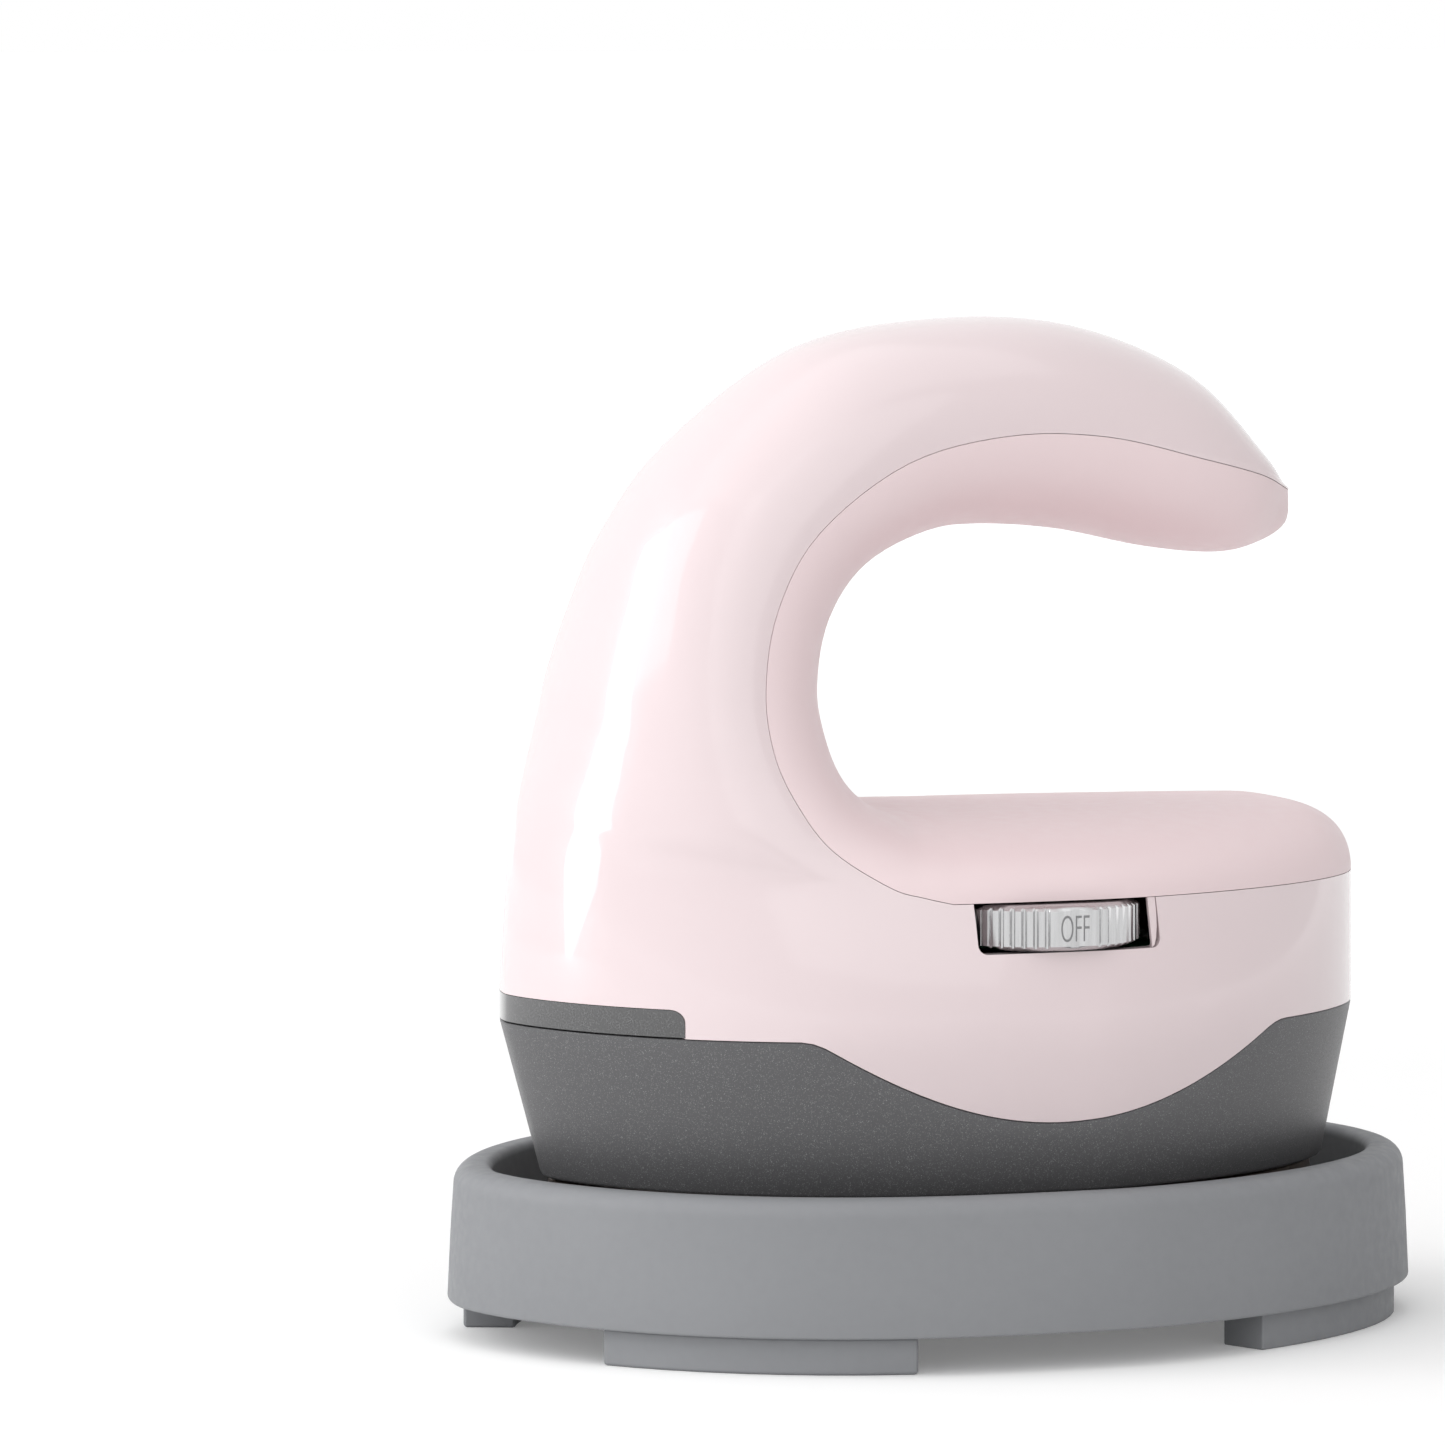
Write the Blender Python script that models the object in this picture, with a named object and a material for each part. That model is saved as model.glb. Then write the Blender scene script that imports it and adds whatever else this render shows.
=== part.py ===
# Mini heat press in its stand: a hand held iron with a C shaped handle, a hot plate with a
# pointed nose, a thumb wheel for the heat, and an insulated tray that it rests in.
# The nose points to -X, the heel to +X, and the thumb wheel is on the -Y side.
import bpy
import bmesh
import math
from mathutils import Matrix, Vector

mm = 0.001

# Driving dimensions of the whole press
plate_length = 106.0 * mm
plate_width = 73.0 * mm
wall = 2.2 * mm
gap = 0.3 * mm
cut_overrun = 4.0 * mm
columns = 80

# Plan outline of the hot plate, which every ring of the press and its stand follows
widest_share = 0.559
nose_power = 2.88
nose_fullness = 0.66
heel_power = 1.5
heel_fullness = 0.481
turn_step = 0.001

# Stand
foot_height = 4.55 * mm
foot_inset = 1.8 * mm
foot_width = 7.0 * mm
nose_foot_ends = ((-0.52, -0.19), (-0.572, -0.19))
heel_foot_ends = (0.276, 0.566)
tray_height = 17.65 * mm
tray_floor = 2.6 * mm
tray_reach = 13.25 * mm
tray_lean = 0.8 * mm
tray_rim = 3.95 * mm
tray_draft = 0.6 * mm
rim_round = 2.6 * mm
rim_inner_round = 1.2 * mm
pad_height = 10.15 * mm
pad_margin = 3.0 * mm
pad_base = 3.0 * mm
pad_rib = 6.0 * mm
pad_rib_count = 5

# Hot plate and what is clamped to its back
plate_edge = 2.8 * mm
plate_body = 6.0 * mm
plate_step = 2.6 * mm
edge_round = 0.5 * mm
boss_height = 7.0 * mm
boss_radius = 4.2 * mm
plate_screw_radius = 1.5 * mm
screw_reach = 4.0 * mm
screw_head_radius = 3.0 * mm
screw_head_height = 2.0 * mm
boss_x_share = 0.285
boss_heel_y_share = 0.308
boss_nose_y_share = 0.282
element_radius = 3.0 * mm
element_inset = 17.0 * mm
element_points = 24
element_opening = math.pi * 0.3
element_bend = 4.5 * mm
element_bend_points = 5
element_end_height = 6.0 * mm
terminal_radius = 3.0 * mm
terminal_height = 9.0 * mm
shield_thickness = 0.6 * mm
insulation_thickness = 1.0 * mm
shield_margin = 1.2 * mm
sensor_radius = 4.5 * mm
sensor_height = 3.0 * mm
sensor_x_share = -0.12
clip_thickness = 0.8 * mm
clip_width = 7.0 * mm
clip_length = 16.0 * mm
fuse_radius = 2.2 * mm
fuse_length = 13.0 * mm
fuse_x_share = 0.12
fuse_ledge = 0.8 * mm

# Lower housing
housing_height = 20.4 * mm
housing_floor = 2.0 * mm
housing_slope = 0.226
slope_change = 0.04
lip_wall = 1.6 * mm
lip_rise = 2.0 * mm
nose_lip_rise = 0.1 * mm
lobe_depth = 11.3 * mm
lobe_half_length = 30.7 * mm
lobe_centre = 2.3 * mm
lobe_softness = 0.1

# Outer shell and handle
shell_overhang = 5.4 * mm
nose_reach = 1.25 * mm
seam_rise = 17.2 * mm
side_lean = 3.1 * mm
nose_lean = 0.7 * mm
deck_rise = 9.2 * mm
deck_round = 11.3 * mm
handle_rise = 73.7 * mm
band_rows = 5
band_wall_columns = 24
window_rise = 3.7 * mm
window_reach = 13.6 * mm
window_wall = 2.0 * mm

# Thumb wheel and its slot
dial_radius = 13.5 * mm
dial_thickness = 5.8 * mm
dial_proud = 3.0 * mm
dial_x_share = 0.0245
dial_chamfer = 0.6 * mm
dial_teeth = 56
dial_groove = 0.45 * mm
dial_hub_radius = 3.2 * mm
slot_length = 25.8 * mm
slot_height = 6.4 * mm
slot_shift = 0.55 * mm
slot_corner = 1.2 * mm
shaft_radius = 2.6 * mm
switch_share = 0.284
switch_height_share = 0.62

# Cord inlet
inlet_radius = 4.0 * mm
inlet_width_share = 1.35
inlet_height = 8.0 * mm
gland_wall = 0.9 * mm
gland_length = 6.0 * mm

# Electronics
chassis_thickness = 2.0 * mm
chassis_margin = 0.6 * mm
chassis_width_share = 0.548
post_radius = 2.6 * mm
post_share = 0.41
post_margin = 4.0 * mm
board_thickness = 1.6 * mm
board_side_gap = 2.0 * mm
board_nose_gap = 7.2 * mm
board_heel_gap = 1.6 * mm
board_screw_radius = 1.1 * mm
board_head_radius = 2.2 * mm
board_head_height = 1.4 * mm
board_screw_reach = 5.0 * mm
solder_gap = 0.3 * mm
relay_share = 0.355
relay_width = 10.0 * mm
relay_height = 12.0 * mm
transformer_share = 0.332
transformer_width = 13.0 * mm
transformer_height = 12.0 * mm
chip_share = 0.166
chip_height = 1.6 * mm
block_share = 0.166
block_width = 12.0 * mm
block_height_share = 0.8
capacitor_radius = 4.0 * mm
capacitor_height = 12.0 * mm
lamp_board_size = (12.0 * mm, 14.0 * mm, 1.4 * mm)
lamp_radius = 2.2 * mm
lamp_height = 3.4 * mm
guide_width = 12.0 * mm
guide_thickness = 2.6 * mm
lead_radius = 1.1 * mm

# Heights and lengths that follow
tray_bottom = foot_height + gap
tray_floor_top = tray_bottom + tray_floor
plate_face = tray_floor_top + gap + pad_height + gap
plate_step_height = plate_face + plate_edge
plate_top = plate_step_height + plate_body - plate_edge
boss_top = plate_top + boss_height
housing_bottom = plate_step_height + gap
parting = housing_bottom + gap + housing_height
seam_height = parting + seam_rise
shield_bottom = boss_top + gap
insulation_bottom = shield_bottom + shield_thickness + gap
floor_bottom = insulation_bottom + insulation_thickness + gap
floor_top = floor_bottom + housing_floor
chassis_bottom = floor_top + gap
chassis_top = chassis_bottom + chassis_thickness
dial_middle = seam_height - slot_height / 2
dial_low = dial_middle - dial_thickness / 2
dial_high = dial_middle + dial_thickness / 2
post_height = (dial_low - chassis_top) * post_share
board_bottom = chassis_top + post_height + gap
board_top = board_bottom + board_thickness
switch_height = (dial_low - board_top) * switch_height_share
block_height = (dial_low - board_top) * block_height_share
dial_x = plate_length * dial_x_share
nose_x = -plate_length / 2
heel_x = plate_length / 2
widest_x = nose_x + plate_length * widest_share
body_nose = nose_x - shell_overhang
body_heel = heel_x + shell_overhang
body_length = body_heel - body_nose
window_end = body_nose + window_reach
deck_height = seam_height + deck_rise
heater_end_x = (
    widest_x + (heel_x - widest_x - element_inset) * math.cos(element_opening) + element_bend * 0.7
)
board_end = heater_end_x - terminal_radius - board_heel_gap
board_start = screw_head_radius + board_nose_gap - plate_length * boss_x_share
board_length = board_end - board_start
board_x = (board_start + board_end) / 2
switch_side = board_length * switch_share
relay_size = (board_length * relay_share, relay_width, relay_height)
transformer_size = (board_length * transformer_share, transformer_width, transformer_height)
chip_size = (board_length * chip_share, board_length * chip_share, chip_height)
block_size = (board_length * block_share, block_width, block_height)
board_near = plate_width / 2 - board_side_gap
chassis_length = board_length + 2 * chassis_margin
chassis_width = plate_width * chassis_width_share
board_far = chassis_width / 2

# Places along the handle, from the shell's side round the throat to the handle's free end.
# x is a share of the body's length from the nose, z a share of the rise from seam to top.
# Each row: seam x, seam z, ridge x, ridge z, inner x, inner z, half width as a share.
handle_shares = (
    (0.362, 0.012, 0.004, 0.102, 0.419, 0.131, 0.950),
    (0.327, 0.030, 0.0105, 0.154, 0.396, 0.138, 0.922),
    (0.269, 0.093, 0.024, 0.229, 0.365, 0.167, 0.850),
    (0.237, 0.169, 0.037, 0.296, 0.342, 0.211, 0.785),
    (0.217, 0.257, 0.052, 0.378, 0.330, 0.280, 0.722),
    (0.216, 0.368, 0.079, 0.497, 0.328, 0.364, 0.650),
    (0.240, 0.504, 0.116, 0.629, 0.349, 0.475, 0.577),
    (0.297, 0.636, 0.191, 0.786, 0.398, 0.564, 0.520),
    (0.408, 0.753, 0.339, 0.951, 0.478, 0.619, 0.478),
    (0.533, 0.798, 0.509, 1.000, 0.551, 0.631, 0.457),
    (0.654, 0.793, 0.667, 0.985, 0.654, 0.618, 0.447),
    (0.772, 0.751, 0.804, 0.899, 0.762, 0.583, 0.426),
    (0.857, 0.718, 0.884, 0.767, 0.846, 0.570, 0.345),
    (0.909, 0.690, 0.915, 0.704, 0.898, 0.585, 0.195),
    (0.924, 0.681, 0.932, 0.688, 0.930, 0.613, 0.135),
    (0.936, 0.672, 0.936, 0.672, 0.950, 0.650, 0.000),
)
steps_between = 2
leaving_column = columns * 3 // 10
throat_lean = 5.2 * mm
throat_rise = 0.3 * mm
ellipse_share = 0.5625

# Colours: red, green, blue, roughness and metallic value
finishes = {
    "pink_gloss": (0.83, 0.68, 0.69, 0.12, 0.0),
    "pink_satin": (0.80, 0.64, 0.66, 0.38, 0.0),
    "graphite": (0.075, 0.075, 0.08, 0.45, 0.2),
    "stand_grey": (0.30, 0.31, 0.32, 0.62, 0.0),
    "ceramic": (0.86, 0.80, 0.75, 0.55, 0.0),
    "silver": (0.72, 0.72, 0.73, 0.28, 0.9),
    "smoked": (0.05, 0.05, 0.055, 0.08, 0.0),
    "steel": (0.55, 0.56, 0.58, 0.35, 1.0),
    "frame_white": (0.80, 0.79, 0.76, 0.5, 0.0),
    "board_green": (0.05, 0.22, 0.10, 0.45, 0.0),
    "black": (0.03, 0.03, 0.03, 0.5, 0.0),
    "mica": (0.74, 0.68, 0.55, 0.7, 0.0),
    "pad_grey": (0.10, 0.10, 0.105, 0.75, 0.0),
    "clear": (0.85, 0.87, 0.88, 0.2, 0.0),
    "lead_white": (0.85, 0.85, 0.83, 0.6, 0.0),
}


def material(name):
    found = bpy.data.materials.get(name)
    if found:
        return found
    red, green, blue, roughness, metallic = finishes[name]
    made = bpy.data.materials.new(name)
    made.use_nodes = True
    shader = made.node_tree.nodes["Principled BSDF"]
    shader.inputs["Base Color"].default_value = (red, green, blue, 1.0)
    shader.inputs["Roughness"].default_value = roughness
    shader.inputs["Metallic"].default_value = metallic
    return made


for old in list(bpy.data.objects):
    bpy.data.objects.remove(old, do_unlink=True)

parts = bpy.data.collections.new("mini_heat_press")
cutters = bpy.data.collections.new("cutters")
bpy.context.scene.collection.children.link(parts)
bpy.context.scene.collection.children.link(cutters)


def add_object(name, mesh, finish, parent=None):
    made = bpy.data.objects.new(name, mesh)
    parts.objects.link(made)
    mesh.materials.append(material(finish))
    mesh.shade_smooth()
    mesh.set_sharp_from_angle(angle=math.radians(32))
    if parent:
        made.parent = parent
        made.matrix_parent_inverse = parent.matrix_world.inverted()
    return made


def mesh_from(name, work):
    mesh = bpy.data.meshes.new(name)
    work.to_mesh(mesh)
    work.free()
    return mesh


# Plan outline


def outline(turn, inset=0.0):
    """Point on the plate's outline or inside it; turn 0 is the heel and half a turn is the nose."""
    along = math.cos(turn)
    if along >= 0:
        x = widest_x + (heel_x - widest_x - inset) * along
        half = (1 - along ** heel_power) ** heel_fullness
    else:
        x = widest_x + (widest_x - nose_x - inset) * along
        half = (1 - (-along) ** nose_power) ** nose_fullness
    return Vector((x, math.copysign((plate_width / 2 - inset) * half, math.sin(turn))))


def outline_normal(turn):
    tangent = outline(turn + turn_step) - outline(turn - turn_step)
    return Vector((tangent.y, -tangent.x)).normalized()


def plan(turn, offset):
    """Point outside the outline by an offset, or inside it where the offset is negative."""
    if offset < 0:
        return outline(turn, -offset)
    return outline(turn) + outline_normal(turn) * offset


def turns():
    return [math.tau * index / columns for index in range(columns)]


def wall_offset(height):
    """How far the press's wall stands outside the plate's outline at a height."""
    return shell_overhang - max(0.0, parting - height) * housing_slope


def side(turn, height, inset):
    """Point on the press's side, or on a surface inset from it."""
    normal = outline_normal(turn)
    rise = max(0.0, height - parting) / seam_rise
    lean = rise * rise * (side_lean * abs(normal.y) ** 4 + nose_lean * max(0.0, -normal.x) ** 4)
    reach = nose_reach * max(0.0, -normal.x) ** 4
    reach += slope_change * normal.x * max(0.0, parting - height)
    flat = plan(turn, wall_offset(height) - lean + reach - inset)
    return Vector((flat.x, flat.y, height))


def lobe_line(x):
    """Height of the shell's lower edge, which dips in a lobe on each side."""
    reach = (x - lobe_centre) / lobe_half_length
    dip = 1 - reach * reach
    if abs(dip) < lobe_softness:
        dip = (dip + lobe_softness) ** 2 / (4 * lobe_softness)
    return parting - lobe_depth * max(0.0, dip)


# Lofted bodies


def capped_loft(name, rings, finish, parent=None):
    """Solid from closed rings of points, with the first and the last ring capped."""
    work = bmesh.new()
    levels = [[work.verts.new(point) for point in ring] for ring in rings]
    count = len(levels[0])
    for lower, upper in zip(levels, levels[1:]):
        for index in range(count):
            after = (index + 1) % count
            work.faces.new((lower[index], lower[after], upper[after], upper[index]))
    work.faces.new(list(reversed(levels[0])))
    work.faces.new(levels[-1])
    return add_object(name, mesh_from(name, work), finish, parent)


def level_ring(offset, height):
    flat = [plan(turn, offset) for turn in turns()]
    return [Vector((point.x, point.y, height)) for point in flat]


def thick_sheet(name, quads, outer, inner, finish, parent=None):
    """Closed wall between two sheets that share their faces; points that meet are merged."""
    found = {}
    first = []
    merged = []
    for index, point in enumerate(outer):
        key = tuple(round(value / turn_step / mm) for value in point)
        if key not in found:
            found[key] = len(first)
            first.append(index)
        merged.append(found[key])
    work = bmesh.new()
    outside = [work.verts.new(outer[index]) for index in first]
    inside = [work.verts.new(inner[index]) for index in first]
    used = set()
    for quad in quads:
        loop = []
        for index in quad:
            if merged[index] not in loop:
                loop.append(merged[index])
        if len(loop) < 3:
            continue
        work.faces.new([outside[index] for index in loop])
        work.faces.new([inside[index] for index in reversed(loop)])
        for start, end in zip(loop, loop[1:] + loop[:1]):
            used.add((start, end))
    for start, end in sorted(used):
        if (end, start) not in used:
            work.faces.new((outside[end], outside[start], inside[start], inside[end]))
    return add_object(name, mesh_from(name, work), finish, parent)


# Simple bodies and cuts


def box(name, low, high, finish, parent=None, round_edge=0.0):
    work = bmesh.new()
    bmesh.ops.create_cube(work, size=1.0)
    size = Vector(high) - Vector(low)
    middle = (Vector(high) + Vector(low)) / 2
    place = Matrix.Translation(middle) @ Matrix.Diagonal((*size, 1.0))
    bmesh.ops.transform(work, matrix=place, verts=work.verts)
    if round_edge:
        bmesh.ops.bevel(work, geom=work.edges[:], offset=round_edge, segments=2, profile=0.5, affect="EDGES")
    return add_object(name, mesh_from(name, work), finish, parent)


def centred_box(name, x, y, bottom, size, finish, parent=None, round_edge=0.0):
    low = (x - size[0] / 2, y - size[1] / 2, bottom)
    high = (x + size[0] / 2, y + size[1] / 2, bottom + size[2])
    return box(name, low, high, finish, parent, round_edge)


def turned(name, x, y, profile, sides, finish, parent=None):
    """Solid turned about a vertical axis from radius and height pairs, bottom to top."""
    work = bmesh.new()
    rings = []
    for radius, height in profile:
        ring = []
        for index in range(sides):
            turn = math.tau * index / sides
            ring.append(work.verts.new((x + radius * math.cos(turn), y + radius * math.sin(turn), height)))
        rings.append(ring)
    for lower, upper in zip(rings, rings[1:]):
        for index in range(sides):
            after = (index + 1) % sides
            work.faces.new((lower[index], lower[after], upper[after], upper[index]))
    work.faces.new(list(reversed(rings[0])))
    work.faces.new(rings[-1])
    return add_object(name, mesh_from(name, work), finish, parent)


def rod(name, x, y, bottom, top, radius, finish, parent=None, sides=16):
    return turned(name, x, y, ((radius, bottom), (radius, top)), sides, finish, parent)


def screw(name, x, y, seat, head_radius, head_height, shank_radius, reach, finish):
    profile = (
        (shank_radius, seat - reach),
        (shank_radius, seat),
        (head_radius, seat),
        (head_radius, seat + head_height * 0.5),
        (head_radius * 0.7, seat + head_height),
    )
    return turned(name, x, y, profile, 12, finish)


def as_cutter(piece):
    parts.objects.unlink(piece)
    cutters.objects.link(piece)
    piece.hide_render = True
    piece.display_type = "WIRE"
    return piece


def cut(piece, cutter, operation="DIFFERENCE"):
    as_cutter(cutter)
    change = piece.modifiers.new(cutter.name, "BOOLEAN")
    change.operation = operation
    change.solver = "EXACT"
    change.object = cutter


def holes(piece, places, radius, bottom, top):
    for number, (x, y) in enumerate(places):
        name = f"{piece.name}_hole_{number}_{round(radius / mm * 10)}"
        cut(piece, rod(name, x, y, bottom - cut_overrun, top + cut_overrun, radius, "steel", sides=12))


def tube(name, points, radius, finish):
    """Round tube along points, as a mesh with welded caps."""
    curve = bpy.data.curves.new(name, "CURVE")
    curve.dimensions = "3D"
    curve.bevel_depth = radius
    curve.bevel_resolution = 2
    curve.use_fill_caps = True
    spline = curve.splines.new("POLY")
    spline.points.add(len(points) - 1)
    for place, point in zip(spline.points, points):
        place.co = (*point, 1.0)
    guide = bpy.data.objects.new(name + "_guide", curve)
    parts.objects.link(guide)
    bpy.context.view_layer.update()
    mesh = bpy.data.meshes.new_from_object(guide.evaluated_get(bpy.context.evaluated_depsgraph_get()))
    bpy.data.objects.remove(guide, do_unlink=True)
    work = bmesh.new()
    work.from_mesh(mesh)
    bmesh.ops.remove_doubles(work, verts=work.verts, dist=turn_step * mm)
    bmesh.ops.recalc_face_normals(work, faces=work.faces)
    work.to_mesh(mesh)
    work.free()
    mesh.materials.clear()
    mesh.name = name
    return add_object(name, mesh, finish)


def smooth_path(places):
    """Evenly stepped points on a smooth curve through the places."""
    count = 14
    padded = [places[0] * 2 - places[1], *places, places[-1] * 2 - places[-2]]
    points = []
    spans = len(places) - 1
    for step in range(count):
        along = spans * step / (count - 1)
        span = min(int(along), spans - 1)
        part = along - span
        before, start, end, after = padded[span:span + 4]
        points.append(
            (start * 2 + (end - before) * part + (before * 2 - start * 5 + end * 4 - after) * part ** 2
             + (start * 3 - before - end * 3 + after) * part ** 3) / 2
        )
    return points


# Stand


def make_stand():
    top = tray_bottom + tray_height
    outer_top = tray_reach - tray_lean
    inner_top = outer_top - tray_rim
    half = math.sqrt(0.5)
    rings = [
        level_ring(tray_reach, tray_bottom),
        level_ring(tray_reach - tray_lean * 0.5, tray_bottom + tray_height * 0.5),
        level_ring(outer_top, top - rim_round),
        level_ring(outer_top - rim_round * (1 - half), top - rim_round * (1 - half)),
        level_ring(outer_top - rim_round, top),
        level_ring(inner_top, top),
        level_ring(inner_top - rim_inner_round * half, top - rim_inner_round * (1 - half)),
        level_ring(inner_top - rim_inner_round, top - rim_inner_round),
        level_ring(inner_top - rim_inner_round - tray_draft, tray_floor_top),
    ]
    capped_loft("stand_tray", rings, "stand_grey")

    foot_reach = tray_reach - foot_inset
    feet = (
        ("nose_left", -1, nose_foot_ends[0]), ("nose_right", 1, nose_foot_ends[1]),
        ("heel_left", -1, heel_foot_ends), ("heel_right", 1, heel_foot_ends),
    )
    for place_name, sign, (start_share, end_share) in feet:
        name = f"stand_foot_{place_name}"
        ring = foot_ring(start_share * plate_length, end_share * plate_length, sign, foot_reach)
        low = [Vector((point.x, point.y, 0.0)) for point in ring]
        high = [Vector((point.x, point.y, foot_height)) for point in ring]
        capped_loft(name, [low, high], "stand_grey")

    pad_bottom = tray_floor_top + gap
    pad = capped_loft(
        "rest_pad",
        [level_ring(-pad_margin, pad_bottom), level_ring(-pad_margin, pad_bottom + pad_height)],
        "pad_grey",
    )
    pocket_width = pad_rib
    pitch = pad_rib + pocket_width
    reach = (pad_rib_count - 1) * pitch / 2
    for index in range(pad_rib_count):
        middle = widest_x - pad_rib + index * pitch - reach
        share = abs(middle - widest_x) / (plate_length / 2)
        half_width = plate_width / 2 * math.sqrt(1 - share * share) - pad_margin - 2 * pad_rib
        low = (middle - pocket_width / 2, -half_width, pad_bottom + pad_base)
        high = (middle + pocket_width / 2, half_width, pad_bottom + pad_height + cut_overrun)
        cut(pad, box(f"pad_pocket_{index}", low, high, "steel"))


def foot_ring(start, end, sign, reach):
    """Plan of a curved foot along the tray's edge between two places along X."""
    chosen = []
    for turn in [math.tau * index / (columns * 4) for index in range(columns * 4)]:
        point = plan(turn, reach)
        if start <= point.x <= end and point.y * sign > 0:
            chosen.append(turn)
    if sign > 0:
        chosen.sort()
    kept = chosen[::4] + [chosen[-1]]
    outer = [plan(turn, reach) for turn in kept]
    inner = [plan(turn, reach - foot_width) for turn in reversed(kept)]
    return outer + inner


# Hot plate and the pieces clamped to it


def boss_places():
    x = plate_length * boss_x_share
    nose_y = plate_width * boss_nose_y_share
    heel_y = plate_width * boss_heel_y_share
    return [(-x, -nose_y), (-x, nose_y), (x, -heel_y), (x, heel_y)]


def element_path():
    """Bent rod: up at one side of the heel, round the nose and back up at the other side."""
    level = plate_top + gap + element_radius
    half = plate_width / 2 - element_inset
    points = []
    for index in range(element_points + 1):
        turn = element_opening + (math.tau - 2 * element_opening) * index / element_points
        end_x = heel_x if math.cos(turn) > 0 else nose_x
        reach = abs(end_x - widest_x) - element_inset
        points.append(Vector((widest_x + reach * math.cos(turn), half * math.sin(turn), level)))
    first = turned_up(points[0] - points[1], points[0])
    last = turned_up(points[-1] - points[-2], points[-1])
    return first[::-1] + points + last


def turned_up(direction, end):
    """Points of a bend that turns up from the rod's end."""
    heading = direction.normalized()
    bend = []
    for index in range(1, element_bend_points + 1):
        turn = math.pi / 2 * index / element_bend_points
        rise = Vector((0, 0, element_bend * (1 - math.cos(turn))))
        bend.append(end + heading * element_bend * math.sin(turn) + rise)
    bend.append(bend[-1] + Vector((0, 0, element_end_height)))
    return bend


def make_plate():
    rings = [
        level_ring(-edge_round, plate_face),
        level_ring(0.0, plate_face + edge_round),
        level_ring(0.0, plate_step_height),
        level_ring(-plate_step, plate_step_height),
        level_ring(-plate_step, plate_top),
    ]
    plate = capped_loft("hot_plate", rings, "ceramic")
    for number, (x, y) in enumerate(boss_places()):
        post = rod(f"plate_boss_{number}", x, y, plate_top - plate_step, boss_top, boss_radius, "steel")
        cut(plate, post, "UNION")
    low = floor_top - screw_reach - housing_floor - insulation_thickness - 4 * gap
    high = boss_top + cut_overrun
    clear = plate_screw_radius + gap
    for number, (x, y) in enumerate(boss_places()):
        cut(plate, rod(f"boss_hole_{number}", x, y, low, high, clear, "steel", sides=12))
    path = element_path()
    tube("heating_element", path, element_radius, "steel")
    low = path[0].z + gap
    high = low + terminal_height
    for number, end in enumerate((path[0], path[-1])):
        rod(f"heater_terminal_{number + 1}", end.x, end.y, low, high, terminal_radius, "mica")

    x = plate_length * sensor_x_share
    bottom = plate_top + gap
    rod("temperature_sensor", x, 0.0, bottom, bottom + sensor_height, sensor_radius, "steel")
    clip_size = (clip_length, clip_width, clip_thickness)
    centred_box("sensor_clip", x, 0.0, bottom + sensor_height + gap, clip_size, "steel")
    x = plate_length * fuse_x_share
    low = (x - fuse_length / 2, -fuse_radius - fuse_ledge, bottom)
    high = (x + fuse_length / 2, fuse_radius + fuse_ledge, bottom + fuse_ledge)
    box("fuse_saddle", low, high, "steel")
    fuse_middle = bottom + fuse_ledge + gap + fuse_radius
    ends = (Vector((x - fuse_length / 2, 0, fuse_middle)), Vector((x + fuse_length / 2, 0, fuse_middle)))
    tube("thermal_fuse", ends, fuse_radius, "mica")


def make_shields():
    offset = wall_offset(floor_bottom) - wall - gap - lip_wall - shield_margin
    ends = [(point.x, point.y) for point in (element_path()[0], element_path()[-1])]
    layers = (
        ("heat_shield", shield_bottom, shield_thickness, "steel"),
        ("insulation_sheet", insulation_bottom, insulation_thickness, "mica"),
    )
    for name, bottom, thickness, finish in layers:
        rings = [level_ring(offset, bottom), level_ring(offset, bottom + thickness)]
        sheet = capped_loft(name, rings, finish)
        holes(sheet, boss_places(), plate_screw_radius + gap, bottom, bottom + thickness)
        holes(sheet, ends, terminal_radius + 2 * gap, bottom, bottom + thickness)


# Lower housing


def make_lower_housing():
    def top_edge(x):
        return lobe_line(x) - gap

    def wall_ring(inset, height):
        return [side(turn, height, inset) for turn in turns()]

    def edge_ring(inset):
        return [side(turn, top_edge(outline(turn).x), inset) for turn in turns()]

    def lip_ring(inset):
        ring = []
        for turn in turns():
            rise = nose_lip_rise if outline(turn).x < window_end + wall else lip_rise
            ring.append(side(turn, parting + rise, inset))
        return ring

    lap = wall + gap
    rings = [
        wall_ring(lap + lip_wall, floor_bottom),
        wall_ring(wall, housing_bottom),
        wall_ring(0.0, housing_bottom),
        [
            side(turn, (housing_bottom + top_edge(outline(turn).x)) / 2, 0.0)
            for turn in turns()
        ],
        edge_ring(0.0),
        edge_ring(lap),
        lip_ring(lap),
        lip_ring(lap + lip_wall),
        wall_ring(lap + lip_wall, floor_top),
    ]
    housing = capped_loft("lower_housing", rings, "graphite")
    ends = [(point.x, point.y) for point in (element_path()[0], element_path()[-1])]
    holes(housing, boss_places(), plate_screw_radius + gap, floor_bottom, floor_top)
    holes(housing, ends, terminal_radius + 2 * gap, floor_bottom, floor_top)
    reach = screw_reach + housing_floor + insulation_thickness + 3 * gap
    for number, (x, y) in enumerate(boss_places()):
        screw(
            f"plate_screw_{number + 1}", x, y, floor_top + gap, screw_head_radius, screw_head_height,
            plate_screw_radius, reach, "steel",
        )


# Outer shell and handle cover


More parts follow.
